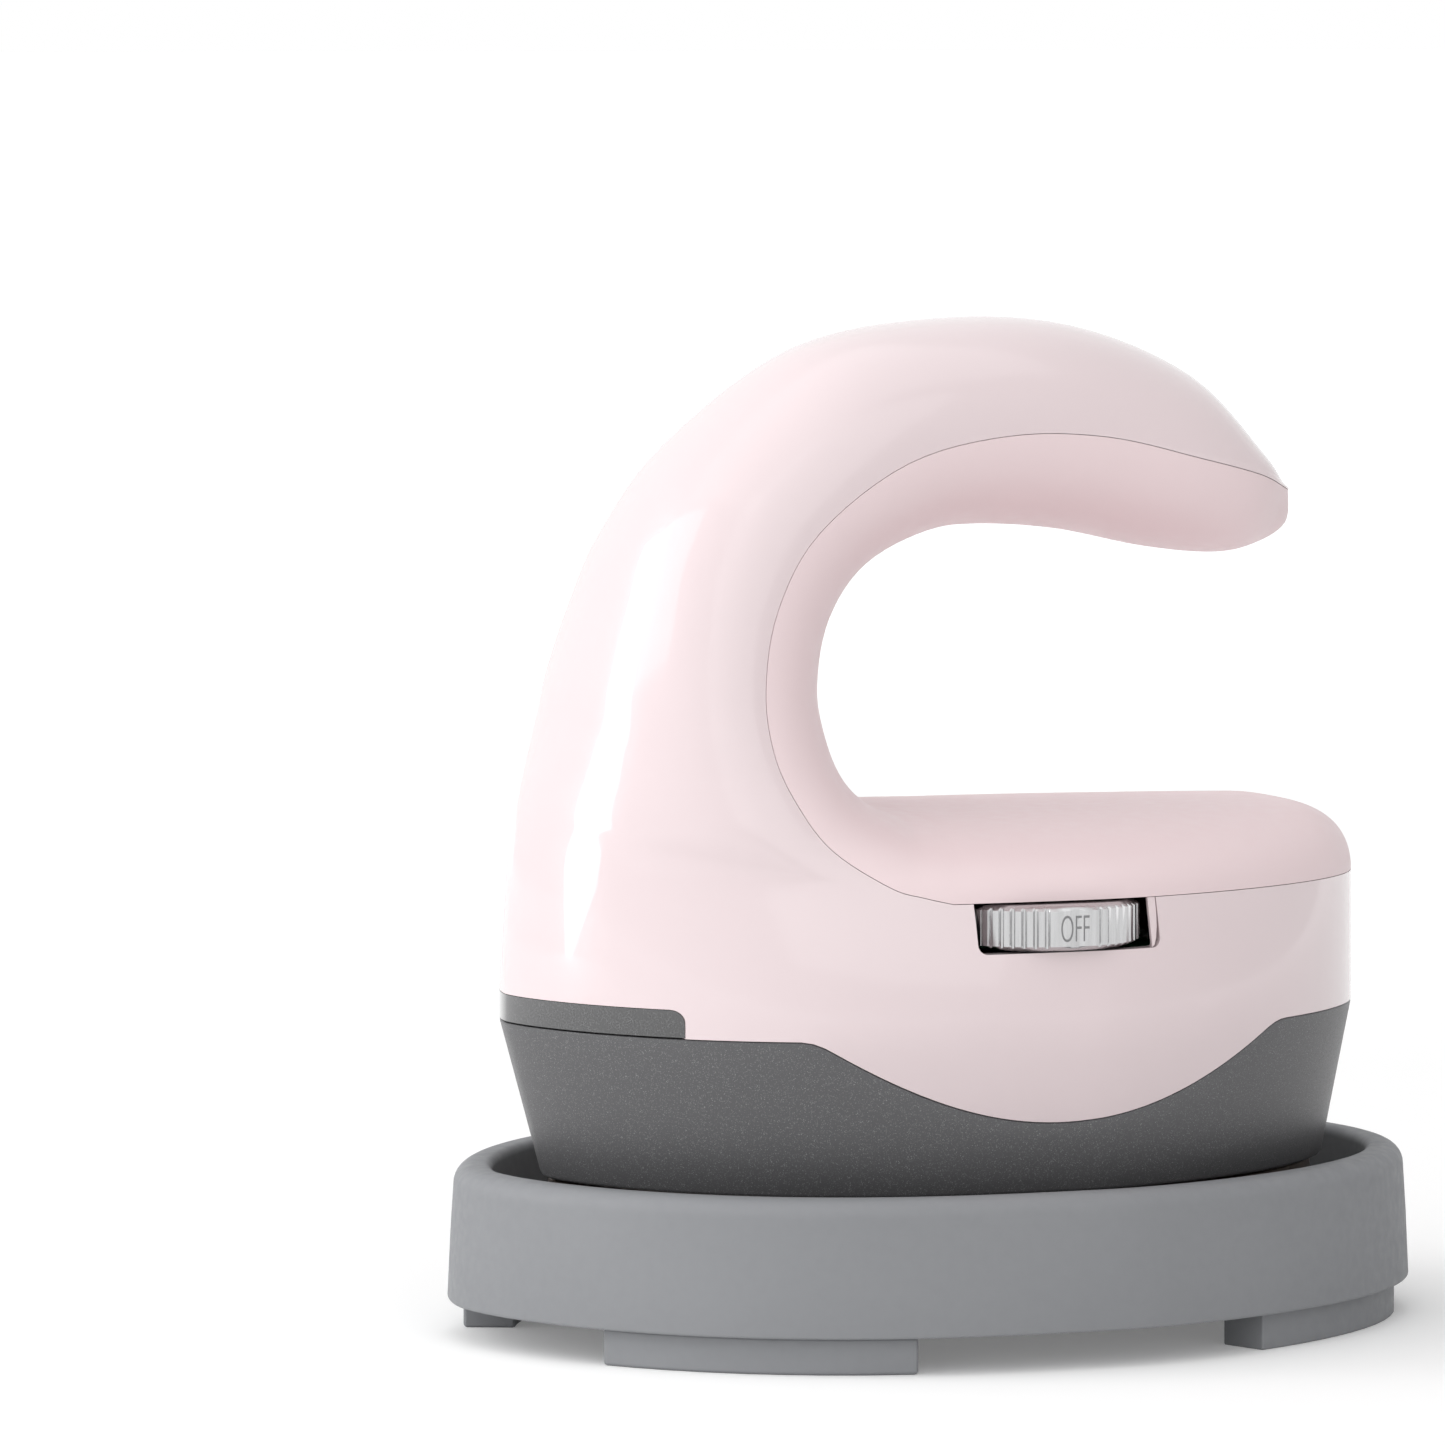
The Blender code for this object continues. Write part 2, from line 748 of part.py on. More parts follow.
def station_rows():
    """Seam, ridge, inner place and half width of each section from the shell's side to the end."""

    def place(x_share, z_share):
        return (body_nose + body_length * x_share, seam_height + handle_rise * z_share)

    leaving = side(turns()[leaving_column], seam_height, 0.0)
    nose = side(math.pi, seam_height, 0.0)
    inner = (leaving.x + throat_lean, deck_height + throat_rise)
    rows = [(leaving.x, seam_height, nose.x, seam_height, *inner, leaving.y)]
    seam_half = side(math.pi / 2, seam_height, 0.0).y
    for seam_x, seam_z, ridge_x, ridge_z, inner_x, inner_z, half in handle_shares:
        rows.append((
            *place(seam_x, seam_z), *place(ridge_x, ridge_z), *place(inner_x, inner_z), seam_half * half,
        ))
    return rows


def finer(rows):
    """The same rows with smooth steps between them."""
    fine = []
    for index in range(len(rows) - 1):
        before = rows[max(index - 1, 0)]
        start = rows[index]
        end = rows[index + 1]
        after = rows[min(index + 2, len(rows) - 1)]
        for step in range(steps_between):
            part = step / steps_between
            fine.append(tuple(
                (2 * s + (e - b) * part + (2 * b - 5 * s + 4 * e - a) * part ** 2
                 + (3 * s - b - 3 * e + a) * part ** 3) / 2
                for b, s, e, a in zip(before, start, end, after)
            ))
    fine.append(rows[-1])
    return fine


def ease(share):
    share = min(1.0, max(0.0, share))
    return share * share * (3 - 2 * share)


def section_places(row, shift):
    """Seam, ridge and inner place of a section in XZ, with the seam moved across its gap."""
    seam = Vector((row[0], row[1]))
    ridge = Vector((row[2], row[3]))
    inner = Vector((row[4], row[5]))
    across = (inner - seam).normalized()
    return seam + across * shift, ridge, inner, row[6]


def shorten(start, end, amount):
    """End pulled back towards start by an amount, but by no more than two thirds of the way."""
    reach = end - start
    if reach.length < turn_step * mm:
        return end
    return end - reach.normalized() * min(amount, reach.length * 0.67)


def shell_rows(inset):
    """Rows of points of the outer shell's sheet: full rings first, then the handle's arches."""
    ring_turns = turns()
    rows = []
    for level in range(band_rows + 1):
        row = []
        for turn in ring_turns:
            low = lobe_line(outline(turn).x)
            height = low + (seam_height - gap / 2 - low) * level / band_rows
            row.append(side(turn, height, inset))
        rows.append(row)
    base = [side(turn, seam_height, 0.0) for turn in ring_turns]
    leaving = base[leaving_column]
    nose = base[columns // 2]
    stations = finer(station_rows())
    for number, station in enumerate(stations[1:], start=1):
        seam, ridge, inner, half = section_places(station, -gap / 2)
        progress = number / (len(stations) - 1)
        blend = ease(progress / ellipse_share)
        if inset:
            ridge = shorten(seam, ridge, inset)
            half = max(half - inset, half * 0.33)
        if number == len(stations) - 1:
            if inset:
                seam = section_places(stations[-2], -gap / 2)[0]
            ridge = seam
        row = []
        for index in range(leaving_column, columns - leaving_column + 1):
            forward = (leaving.x - base[index].x) / (leaving.x - nose.x)
            sideways = base[index].y / leaving.y
            turn = math.pi * (index - leaving_column) / (columns - 2 * leaving_column)
            forward += (math.sin(turn) - forward) * blend
            sideways += (math.cos(turn) - sideways) * blend
            flat = seam + (ridge - seam) * forward
            row.append(Vector((flat.x, half * sideways, flat.y)))
        rows.append(row)
    return rows


def make_outer_shell():
    quads = []
    outer = []
    for row in shell_rows(0.0):
        outer.extend(row)
    inner = []
    for row in shell_rows(wall):
        inner.extend(row)
    for level in range(band_rows):
        for index in range(columns):
            after = (index + 1) % columns
            low = level * columns
            quads.append((low + index, low + after, low + columns + after, low + columns + index))
    start = leaving_column
    arch = columns - 2 * leaving_column + 1
    total = (len(outer) - columns * (band_rows + 1)) // arch
    below = [band_rows * columns + start + index for index in range(arch)]
    for number in range(total):
        base = columns * (band_rows + 1) + number * arch
        above = [base + index for index in range(arch)]
        for index in range(arch - 1):
            quads.append((below[index], below[index + 1], above[index + 1], above[index]))
        below = above
    shell = thick_sheet("outer_shell", quads, outer, inner, "pink_gloss")

    slot_x = dial_x + slot_shift
    slot_low = Vector((slot_x - slot_length / 2, -plate_width, seam_height - slot_height))
    slot_high = Vector((slot_x + slot_length / 2, -plate_width / 4, seam_height + slot_height))
    cut(shell, box("dial_slot", slot_low, slot_high, "steel", round_edge=slot_corner))
    notch_low = Vector((body_nose - cut_overrun, -plate_width, parting - window_rise))
    notch_high = Vector((window_end, plate_width, parting + window_rise))
    cut(shell, box("window_notch", notch_low, notch_high, "steel"))
    cut(shell, inlet_body("inlet_hole", 0.0, body_heel - gland_length * 2, body_heel + cut_overrun))
    return shell


def inlet_body(name, inset, start, end):
    """Oval rod along X at the cord inlet."""
    middle = parting + inlet_height
    work = bmesh.new()
    bmesh.ops.create_cone(
        work, cap_ends=True, segments=24, radius1=inlet_radius - inset, radius2=inlet_radius - inset,
        depth=end - start,
    )
    wide = (inlet_radius * inlet_width_share - inset) / (inlet_radius - inset)
    lie = Matrix.Rotation(math.pi / 2, 4, "Y")
    stretch = Matrix.Diagonal((1.0, wide, 1.0, 1.0))
    move = Matrix.Translation(((start + end) / 2, 0.0, middle))
    bmesh.ops.transform(work, matrix=move @ stretch @ lie, verts=work.verts)
    return add_object(name, mesh_from(name, work), "black")


def make_cord_gland():
    heel = body_heel - gap
    end = heel - gland_length
    gland = inlet_body("cord_gland", gap, end, heel)
    cut(gland, inlet_body("gland_bore", gap + gland_wall, end - cut_overrun, heel + cut_overrun))


def cover_rows(inset):
    """Rows of points of the handle cover's sheet, from the heel over the throat to the end."""
    rows = []
    deck_start = body_heel - deck_round
    widest = side(math.pi / 2, seam_height, 0.0)
    leaving = side(turns()[leaving_column], seam_height, 0.0)
    for turn in turns()[:leaving_column + 1]:
        edge = side(turn, seam_height, 0.0)
        kept = side(turn, seam_height, inset)
        back = max(0.0, (edge.x - deck_start) / (body_heel - deck_start))
        front = max(0.0, (widest.x - edge.x) / (widest.x - leaving.x))
        rise = deck_rise * math.sqrt(max(0.0, 1 - back * back)) + throat_rise * front
        if inset:
            rise = max(rise - inset, rise * 0.33)
        low = Vector((kept.x, seam_height + gap / 2))
        rows.append(cover_row(low, low + Vector((throat_lean * front ** 2, rise)), abs(kept.y), 0.0))
    stations = finer(station_rows())
    for number, station in enumerate(stations[1:], start=1):
        seam, ridge, inner, half = section_places(station, gap / 2)
        progress = number / (len(stations) - 1)
        if inset:
            inner = shorten(seam, inner, inset)
            half = max(half - inset, half * 0.33)
        if inset and number == len(stations) - 1:
            seam = (Vector(stations[-2][0:2]) + Vector(stations[-1][0:2])) / 2
            inner = (Vector(stations[-2][4:6]) + Vector(stations[-1][4:6])) / 2
            inner = shorten(seam, inner, inset)
            half = 0.0
        rows.append(cover_row(seam, inner, half, ease(progress / ellipse_share)))
    return rows


def cover_row(seam, inner, half, roundness):
    """One section of the cover, from the near seam over the middle to the far seam."""
    row = []
    flatness = 0.32 + 0.14 * roundness
    for index in range(band_wall_columns + 1):
        turn = math.pi * index / band_wall_columns
        across = -math.cos(turn)
        sideways = math.copysign(abs(across) ** (2 * flatness), across)
        if index == band_wall_columns // 2:
            sideways = 0.0
        flat = seam + (inner - seam) * math.sin(turn) ** 0.95
        if index in (0, band_wall_columns):
            flat = seam
        row.append(Vector((flat.x, half * sideways, flat.y)))
    return row


def make_handle_cover():
    outer_rows = cover_rows(0.0)
    inner_rows = cover_rows(wall)
    outer = [point for row in outer_rows for point in row]
    inner = [point for row in inner_rows for point in row]
    wide = band_wall_columns + 1
    quads = []
    for level in range(len(outer_rows) - 1):
        for index in range(band_wall_columns):
            low = level * wide + index
            quads.append((low, low + 1, low + wide + 1, low + wide))
    thick_sheet("handle_cover", quads, outer, inner, "pink_satin")


def make_window():
    """Smoked band round the nose, flush with the shell and lying in its notch."""
    low = parting + gap / 2
    high = parting + window_rise - gap
    outer = []
    inner = []
    for height in (low, high):
        for turn in turns():
            outer.append(side(turn, height, 0.0))
            inner.append(side(turn, height, window_wall))
    quads = []
    for index in range(columns):
        after = (index + 1) % columns
        quads.append((index, after, columns + after, columns + index))
    window = thick_sheet("indicator_window", quads, outer, inner, "smoked")
    keep_low = Vector((body_nose - cut_overrun, -plate_width, low - window_rise))
    keep_high = Vector((window_end - gap, plate_width, high + window_rise))
    cut(window, box("window_reach", keep_low, keep_high, "steel"), "INTERSECT")


# Thumb wheel


def make_dial():
    near = side(math.tau * 0.75, seam_height - slot_height / 2, 0.0).y
    axis_y = near - dial_proud + dial_radius
    pivot = bpy.data.objects.new("dial_axis", None)
    pivot.location = (dial_x, axis_y, 0.0)
    parts.objects.link(pivot)
    bpy.context.view_layer.update()
    low = dial_low
    high = dial_high
    work = bmesh.new()
    rings = []
    sides = dial_teeth * 2
    profile = (
        (dial_chamfer + dial_groove, low, 0.0),
        (0.0, low + dial_chamfer, 1.0),
        (0.0, high - dial_chamfer, 1.0),
        (dial_chamfer + dial_groove, high, 0.0),
    )
    for inset, height, grooved in profile:
        ring = []
        for index in range(sides):
            turn = math.tau * index / sides - math.pi / 2
            on_pad = min(index, sides - index) <= 3
            groove = dial_groove if (index % 2 and not on_pad) else 0.0
            radius = dial_radius - inset - groove * grooved
            ring.append(work.verts.new((
                dial_x + radius * math.cos(turn), axis_y + radius * math.sin(turn), height,
            )))
        rings.append(ring)
    for lower, upper in zip(rings, rings[1:]):
        for index in range(sides):
            after = (index + 1) % sides
            work.faces.new((lower[index], lower[after], upper[after], upper[index]))
    work.faces.new(list(reversed(rings[0])))
    work.faces.new(rings[-1])
    dial = add_object("dial", mesh_from("dial", work), "silver", pivot)
    bore = shaft_radius + gap
    cut(dial, rod("dial_bore", dial_x, axis_y, low - cut_overrun, high + cut_overrun, bore, "steel"))
    switch_bottom = board_top + solder_gap
    size = (switch_side, switch_side, switch_height)
    centred_box("rotary_switch", dial_x, axis_y, switch_bottom, size, "black")
    shaft_bottom = switch_bottom + switch_height + gap
    collar = low - gap
    profile = (
        (dial_hub_radius + wall, shaft_bottom),
        (dial_hub_radius + wall, collar),
        (shaft_radius, collar),
        (shaft_radius, high),
    )
    turned("dial_shaft", dial_x, axis_y, profile, 16, "steel", pivot)


# Electronics


def post_places():
    x = board_length / 2 - post_margin
    return [
        (board_x - x, -chassis_width / 2 + post_margin), (board_x - x, chassis_width / 2 - post_margin),
        (board_x + x, -chassis_width / 2 + post_margin), (board_x + x, chassis_width / 2 - post_margin),
    ]


def make_electronics():
    low = (board_x - chassis_length / 2, -chassis_width / 2, chassis_bottom)
    high = (board_x + chassis_length / 2, chassis_width / 2, chassis_top)
    chassis = box("chassis", low, high, "frame_white")
    low = chassis_bottom + gap
    high = chassis_top + post_height
    for number, (x, y) in enumerate(post_places()):
        cut(chassis, rod(f"post_{number}", x, y, low, high, post_radius, "steel"), "UNION")
    low = board_top - board_screw_reach - gap
    high = chassis_top + post_height + cut_overrun
    clear = board_screw_radius + gap
    for number, (x, y) in enumerate(post_places()):
        cut(chassis, rod(f"post_hole_{number}", x, y, low, high, clear, "steel", sides=12))
    low = (board_x - board_length / 2, -board_near, board_bottom)
    high = (board_x + board_length / 2, board_far, board_top)
    board = box("control_board", low, high, "board_green")
    holes(board, post_places(), board_screw_radius + gap, board_bottom, board_top)
    for number, (x, y) in enumerate(post_places()):
        screw(
            f"board_screw_{number + 1}", x, y, board_top + gap, board_head_radius, board_head_height,
            board_screw_radius, board_screw_reach, "steel",
        )
    seat = board_top + solder_gap
    far = board_x + board_length / 2
    near = board_x - board_length / 2
    centred_box("relay", near + relay_size[0] / 2 + gap, 0.0, seat, relay_size, "black")
    centred_box("transformer", far - transformer_size[0] / 2 - gap, 0.0, seat, transformer_size, "mica")
    chip_y = -(relay_size[1] + chip_size[1]) / 2 - gap
    centred_box("chip", board_x, chip_y, seat, chip_size, "black")
    top = seat + capacitor_height
    rod("capacitor", board_x, board_far - 2 * capacitor_radius, seat, top, capacitor_radius, "black")
    block_y = -chassis_width / 2 - block_size[1] / 2
    block_x = far - block_size[0] / 2 - gap
    centred_box("terminal_block", block_x, block_y, seat, block_size, "board_green")


def make_lamp():
    """Lamp, its small board and the light guide behind the window in the nose."""
    x = window_end + lamp_board_size[0] / 2
    bottom = floor_top + gap
    post_top = parting - lamp_board_size[2] - gap
    width, depth, thickness = lamp_board_size
    size = (width - 2 * wall, depth - 2 * wall, post_top - bottom)
    centred_box("lamp_bracket", x, 0.0, bottom, size, "frame_white")
    centred_box("lamp_board", x, 0.0, post_top + gap, lamp_board_size, "board_green")
    seat = post_top + gap + lamp_board_size[2] + gap
    rod("indicator_lamp", x - lamp_radius, 0.0, seat, seat + lamp_height, lamp_radius, "clear")
    guide_end = x - 2 * lamp_radius - gap
    guide_start = side(math.pi, parting, window_wall).x + guide_width / 2
    low = (guide_start, -guide_width / 2, seat)
    high = (guide_end, guide_width / 2, seat + guide_thickness)
    box("light_guide", low, high, "clear")


def make_leads():
    ends = (element_path()[0], element_path()[-1])
    for number, end in enumerate(ends):
        top = end.z + gap + terminal_height + gap + lead_radius
        start = Vector((end.x, end.y, top))
        board_edge = board_x + board_length / 2 + 2 * lead_radius
        finish = Vector((board_edge, end.y * 0.5, board_top + 2 * lead_radius))
        rise = Vector((0.0, 0.0, lead_radius * 3))
        route = [start, start + rise * 0.6 - Vector((lead_radius * 2, 0, 0)), finish + rise, finish]
        tube(f"heater_lead_{number + 1}", smooth_path(route), lead_radius, "lead_white")


make_stand()
make_plate()
make_shields()
make_lower_housing()
make_outer_shell()
make_handle_cover()
make_cord_gland()
make_window()
make_dial()
make_electronics()
make_lamp()
make_leads()
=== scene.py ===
# Mini heat press in its stand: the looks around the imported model.
# The nose points to -X, the heel to +X, the thumb wheel is on the -Y side.
import bpy
import bmesh
import math
from mathutils import Matrix, Vector


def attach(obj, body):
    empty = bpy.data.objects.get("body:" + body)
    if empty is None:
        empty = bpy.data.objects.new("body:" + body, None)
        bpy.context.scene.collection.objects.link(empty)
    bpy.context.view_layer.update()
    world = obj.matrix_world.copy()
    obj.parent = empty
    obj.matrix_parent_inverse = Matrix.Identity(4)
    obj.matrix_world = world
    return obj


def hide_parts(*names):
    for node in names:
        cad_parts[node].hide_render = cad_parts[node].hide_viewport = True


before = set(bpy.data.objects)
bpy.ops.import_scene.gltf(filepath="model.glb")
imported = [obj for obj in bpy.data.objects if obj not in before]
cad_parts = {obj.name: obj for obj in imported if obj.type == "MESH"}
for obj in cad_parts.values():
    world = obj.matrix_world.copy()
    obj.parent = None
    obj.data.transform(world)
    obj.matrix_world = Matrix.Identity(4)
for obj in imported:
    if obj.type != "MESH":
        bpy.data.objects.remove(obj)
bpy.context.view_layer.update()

mm = 0.001


# Shared shape of the press: plan outline, leaning side and lobed edge

bodyForm = {
    "length": 106 * mm,
    "width": 73 * mm,
    "widest": 0.559,
    "nosePower": 2.88,
    "noseFullness": 0.66,
    "heelPower": 1.5,
    "heelFullness": 0.481,
    "wall": 2.2 * mm,
    "gap": 0.3 * mm,
    "seamGap": 0.08 * mm,
    "overhang": 5.4 * mm,
    "noseReach": 1.25 * mm,
    "parting": 42.0 * mm,
    "seam": 59.2 * mm,
    "slope": 0.226,
    "slopeChange": 0.04,
    "sideLean": 3.1 * mm,
    "noseLean": 0.7 * mm,
    "lobeDepth": 11.3 * mm,
    "lobeReach": 30.7 * mm,
    "lobeMiddle": 2.3 * mm,
    "lobeSoftness": 0.1,
    "columns": 240,
    "turnStep": 0.001,
    "overrun": 4 * mm,
}
bodyLength = bodyForm["length"]
bodyWidth = bodyForm["width"]
wall = bodyForm["wall"]
gap = bodyForm["gap"]
seamGap = bodyForm["seamGap"]
parting = bodyForm["parting"]
seamHeight = bodyForm["seam"]
noseX = -bodyLength / 2
heelX = bodyLength / 2
widestX = noseX + bodyLength * bodyForm["widest"]
bodyNose = noseX - bodyForm["overhang"]
bodyHeel = heelX + bodyForm["overhang"]
columns = bodyForm["columns"]
overrun = bodyForm["overrun"]


def planPoint(turn, inset=0.0):  # on the plate's outline, or shrunk inside it; half a turn is the nose
    along = math.cos(turn)
    if along >= 0:
        x = widestX + (heelX - widestX - inset) * along
        half = (1 - along ** bodyForm["heelPower"]) ** bodyForm["heelFullness"]
    else:
        x = widestX + (widestX - noseX - inset) * along
        half = (1 - (-along) ** bodyForm["nosePower"]) ** bodyForm["noseFullness"]
    return Vector((x, math.copysign((bodyWidth / 2 - inset) * half, math.sin(turn)), 0.0))


def planNormal(turn):
    step = bodyForm["turnStep"]
    tangent = planPoint(turn + step) - planPoint(turn - step)
    return Vector((tangent.y, -tangent.x, 0.0)).normalized()


def planOffset(turn, offset, height=0.0):
    flat = planPoint(turn, -offset) if offset < 0 else planPoint(turn) + planNormal(turn) * offset
    return Vector((flat.x, flat.y, height))


def sidePoint(turn, height, inset=0.0):  # on the press's side, or inset from it
    normal = planNormal(turn)
    rise = max(0.0, height - parting) / (seamHeight - parting)
    lean = bodyForm["sideLean"] * abs(normal.y) ** 4 + bodyForm["noseLean"] * max(0.0, -normal.x) ** 4
    reach = bodyForm["overhang"] - max(0.0, parting - height) * bodyForm["slope"]
    reach += bodyForm["noseReach"] * max(0.0, -normal.x) ** 4
    reach += bodyForm["slopeChange"] * normal.x * max(0.0, parting - height)
    return planOffset(turn, reach - lean * rise * rise - inset, height)


def lobeLine(x):  # height of the shell's lower edge
    dip = 1 - ((x - bodyForm["lobeMiddle"]) / bodyForm["lobeReach"]) ** 2
    soft = bodyForm["lobeSoftness"]
    if abs(dip) < soft:
        dip = (dip + soft) ** 2 / (4 * soft)
    return parting - bodyForm["lobeDepth"] * max(0.0, dip)


def ringTurns(count=columns):
    return [math.tau * index / count for index in range(count)]


def ease(share):
    share = min(1.0, max(0.0, share))
    return share * share * (3 - 2 * share)


# Making meshes

meshForm = {
    "weld": 0.005 * mm,
    "sliver": 0.1,  # share of the weld
    "sharp": 35.0,  # degrees
    "soft": 40.0,  # degrees
    "softSteps": 3,
    "cornerSteps": 6,
}


def addSheet(work, rows, tag=None, tagStart=0):  # a grid laid through rows of points
    made = bmesh.ops.create_grid(work, x_segments=len(rows[0]) - 1, y_segments=len(rows) - 1, size=1.0)
    verts = sorted(made["verts"], key=lambda vert: (round(vert.co.y, 6), round(vert.co.x, 6)))
    for number, (vert, point) in enumerate(zip(verts, [point for row in rows for point in row])):
        vert.co = point
        if tag:
            vert[tag] = tagStart + number
    return verts


def wrapped(row):
    return row + row[:1]


def weld(work):
    bmesh.ops.remove_doubles(work, verts=work.verts[:], dist=meshForm["weld"])
    bmesh.ops.dissolve_degenerate(work, edges=work.edges[:], dist=meshForm["weld"] * meshForm["sliver"])


def thicken(work, inner, tag):  # closes a sheet with its own inner sheet
    made = bmesh.ops.extrude_face_region(work, geom=work.faces[:], use_keep_orig=True)
    for item in made["geom"]:
        if isinstance(item, bmesh.types.BMVert):
            item.co = inner[item[tag]]


def meshOf(name, work):
    mesh = bpy.data.meshes.new(name)
    work.to_mesh(mesh)
    work.free()
    return mesh


def placed(name, data):
    made = bpy.data.objects.new(name, data)
    bpy.context.scene.collection.objects.link(made)
    return made


def addPiece(name, work, finish, body, slot, *replaced):
    bmesh.ops.recalc_face_normals(work, faces=work.faces[:])
    mesh = meshOf(name, work)
    mesh.materials.append(finishes[finish])
    mesh.shade_smooth()
    mesh.set_sharp_from_angle(angle=math.radians(meshForm["sharp"]))
    piece = placed(name, mesh)
    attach(piece, body)
    if replaced:
        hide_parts(*replaced)
    return piece


def ringWork(rings, caps=True):  # a sheet through closed rings
    work = bmesh.new()
    addSheet(work, [wrapped(ring) for ring in rings])
    weld(work)
    if caps:
        bmesh.ops.holes_fill(work, edges=[edge for edge in work.edges if edge.is_boundary], sides=0)
    return work


def softenEdges(piece, width):
    change = piece.modifiers.new("softEdges", "BEVEL")
    change.width = width
    change.segments = meshForm["softSteps"]
    change.limit_method = "ANGLE"
    change.angle_limit = math.radians(meshForm["soft"])
    change.harden_normals = True
    change.miter_outer = "MITER_ARC"


def addCutter(name, work):
    bmesh.ops.recalc_face_normals(work, faces=work.faces[:])
    return placed(name, meshOf(name, work))


def cutWith(piece, cutters):  # cuts are applied, so no cutter is left behind
    for cutter in cutters:
        change = piece.modifiers.new(cutter.name, "BOOLEAN")
        change.operation = "DIFFERENCE"
        change.solver = "EXACT"
        change.object = cutter
    bpy.context.view_layer.update()
    shaped = piece.evaluated_get(bpy.context.evaluated_depsgraph_get())
    mesh = bpy.data.meshes.new_from_object(shaped)
    piece.modifiers.clear()
    old = piece.data
    piece.data = mesh
    mesh.name = piece.name
    bpy.data.meshes.remove(old)
    for cutter in cutters:
        bpy.data.objects.remove(cutter, do_unlink=True)


def bevelEdges(work, edges, width, steps):
    bmesh.ops.bevel(work, geom=edges, offset=width, segments=steps, profile=0.5, affect="EDGES", material=-1)


def boxCutter(name, low, high, rounding=0.0):
    work = bmesh.new()
    bmesh.ops.create_cube(work, size=1.0)
    bmesh.ops.scale(work, vec=Vector(high) - Vector(low), verts=work.verts)
    bmesh.ops.translate(work, vec=(Vector(high) + Vector(low)) / 2, verts=work.verts)
    if rounding:
        edges = [edge for edge in work.edges if abs(edge.verts[0].co.y - edge.verts[1].co.y) > mm]
        bevelEdges(work, edges, rounding, meshForm["cornerSteps"])
    return addCutter(name, work)


# Finishes

def feed(tree, node, inputs):  # a socket is linked, a number or a colour is set
    for key, value in inputs.items():
        socket = node.inputs[key]
        if isinstance(value, bpy.types.NodeSocket):
            tree.links.new(value, socket)
        elif socket.type == "RGBA":
            socket.default_value = (*value, 1.0)
        else:
            socket.default_value = value


def addNode(tree, kind, inputs, operation=None):
    node = tree.nodes.new("ShaderNode" + kind)
    if operation:
        node.operation = operation
    feed(tree, node, inputs)
    return node


def newFinish(name, colour, roughness, metallic=0.0):
    made = bpy.data.materials.new(name)
    made.use_nodes = True
    shader = made.node_tree.nodes["Principled BSDF"]
    feed(made.node_tree, shader, {"Base Color": colour, "Roughness": roughness, "Metallic": metallic})
    return made, made.node_tree, shader


def objectPlace(tree, stretch=(1.0, 1.0, 1.0)):
    place = addNode(tree, "TexCoord", {}).outputs["Object"]
    return addNode(tree, "Mapping", {"Vector": place, "Scale": stretch}).outputs["Vector"]


def noiseValue(tree, place, scale, detail=3.0, roughness=0.5):
    inputs = {"Vector": place, "Scale": scale, "Detail": detail, "Roughness": roughness}
    return addNode(tree, "TexNoise", inputs).outputs["Fac"]


def cellDistance(tree, place, scale):
    return addNode(tree, "TexVoronoi", {"Vector": place, "Scale": scale}).outputs["Distance"]


def between(tree, value, low, high, fromLow=0.3, fromHigh=0.7):  # a value mapped to a range
    inputs = {"Value": value, "From Min": fromLow, "From Max": fromHigh, "To Min": low, "To Max": high}
    return addNode(tree, "MapRange", inputs).outputs["Result"]


def varied(tree, value, middle, spread, *reach):  # a value mapped between two shares of its middle
    return between(tree, value, middle * spread[0], middle * spread[1], *reach)


def combined(tree, operation, first, second):
    return addNode(tree, "Math", {0: first, 1: second}, operation).outputs[0]


def mixed(tree, share, first, second):  # two colours by a share
    node = tree.nodes.new("ShaderNodeMix")
    node.data_type = "RGBA"
    feed(tree, node, {0: share, 6: first, 7: second})
    return node.outputs[2]


def addBump(tree, shader, height, look):
    inputs = {"Strength": look["bump"], "Distance": look["depth"], "Height": height}
    feed(tree, shader, {"Normal": addNode(tree, "Bump", inputs).outputs["Normal"]})


spreadLook = {"gloss": (0.85, 1.2), "fleck": (0.85, 1.15), "metal": (0.75, 1.25)}  # shares of roughness
coatRoughness = 0.03


def glossFinish(name, colour, deeper, look):  # polished moulded plastic
    made, tree, shader = newFinish(name, colour, look["roughness"])
    place = objectPlace(tree)
    cloud = between(tree, noiseValue(tree, place, look["cloudScale"], 2.0), 0.0, 1.0)
    smudge = noiseValue(tree, place, look["smudgeScale"], 4.0)
    feed(tree, shader, {
        "Base Color": mixed(tree, cloud, colour, deeper),
        "Roughness": varied(tree, smudge, look["roughness"], spreadLook["gloss"]),
        "Coat Weight": look["coat"],
        "Coat Roughness": coatRoughness,
    })
    addBump(tree, shader, noiseValue(tree, place, look["grainScale"], 2.0), look)
    return made


fleckLook = {"core": 0.4, "patches": (0.42, 0.68), "bumpScale": 1.5, "plainIor": 1.5}


def fleckFinish(name, dark, light, look, metallic=0.0):  # plastic filled with fine bright flecks
    made, tree, shader = newFinish(name, dark, look["roughness"], metallic)
    place = objectPlace(tree)
    size = look["fleckSize"]
    cells = cellDistance(tree, place, look["fleckScale"])
    fleck = between(tree, cells, 1.0, 0.0, size * fleckLook["core"], size)
    patches = noiseValue(tree, place, look["grainScale"], 4.0, 0.6)
    cloud = between(tree, patches, 0.0, 1.0, *fleckLook["patches"])
    feed(tree, shader, {
        "Base Color": mixed(tree, combined(tree, "MULTIPLY", fleck, cloud), dark, light),
        "Roughness": varied(tree, cloud, look["roughness"], spreadLook["fleck"], 0.0, 1.0),
        "Coat Weight": look.get("coat", 0.0),
        "IOR": look.get("ior", fleckLook["plainIor"]),
    })
    addBump(tree, shader, noiseValue(tree, place, look["grainScale"] * fleckLook["bumpScale"], 2.0), look)
    return made


brushLook = {"grain": 0.65, "bump": 0.15, "depth": 0.02 * mm}


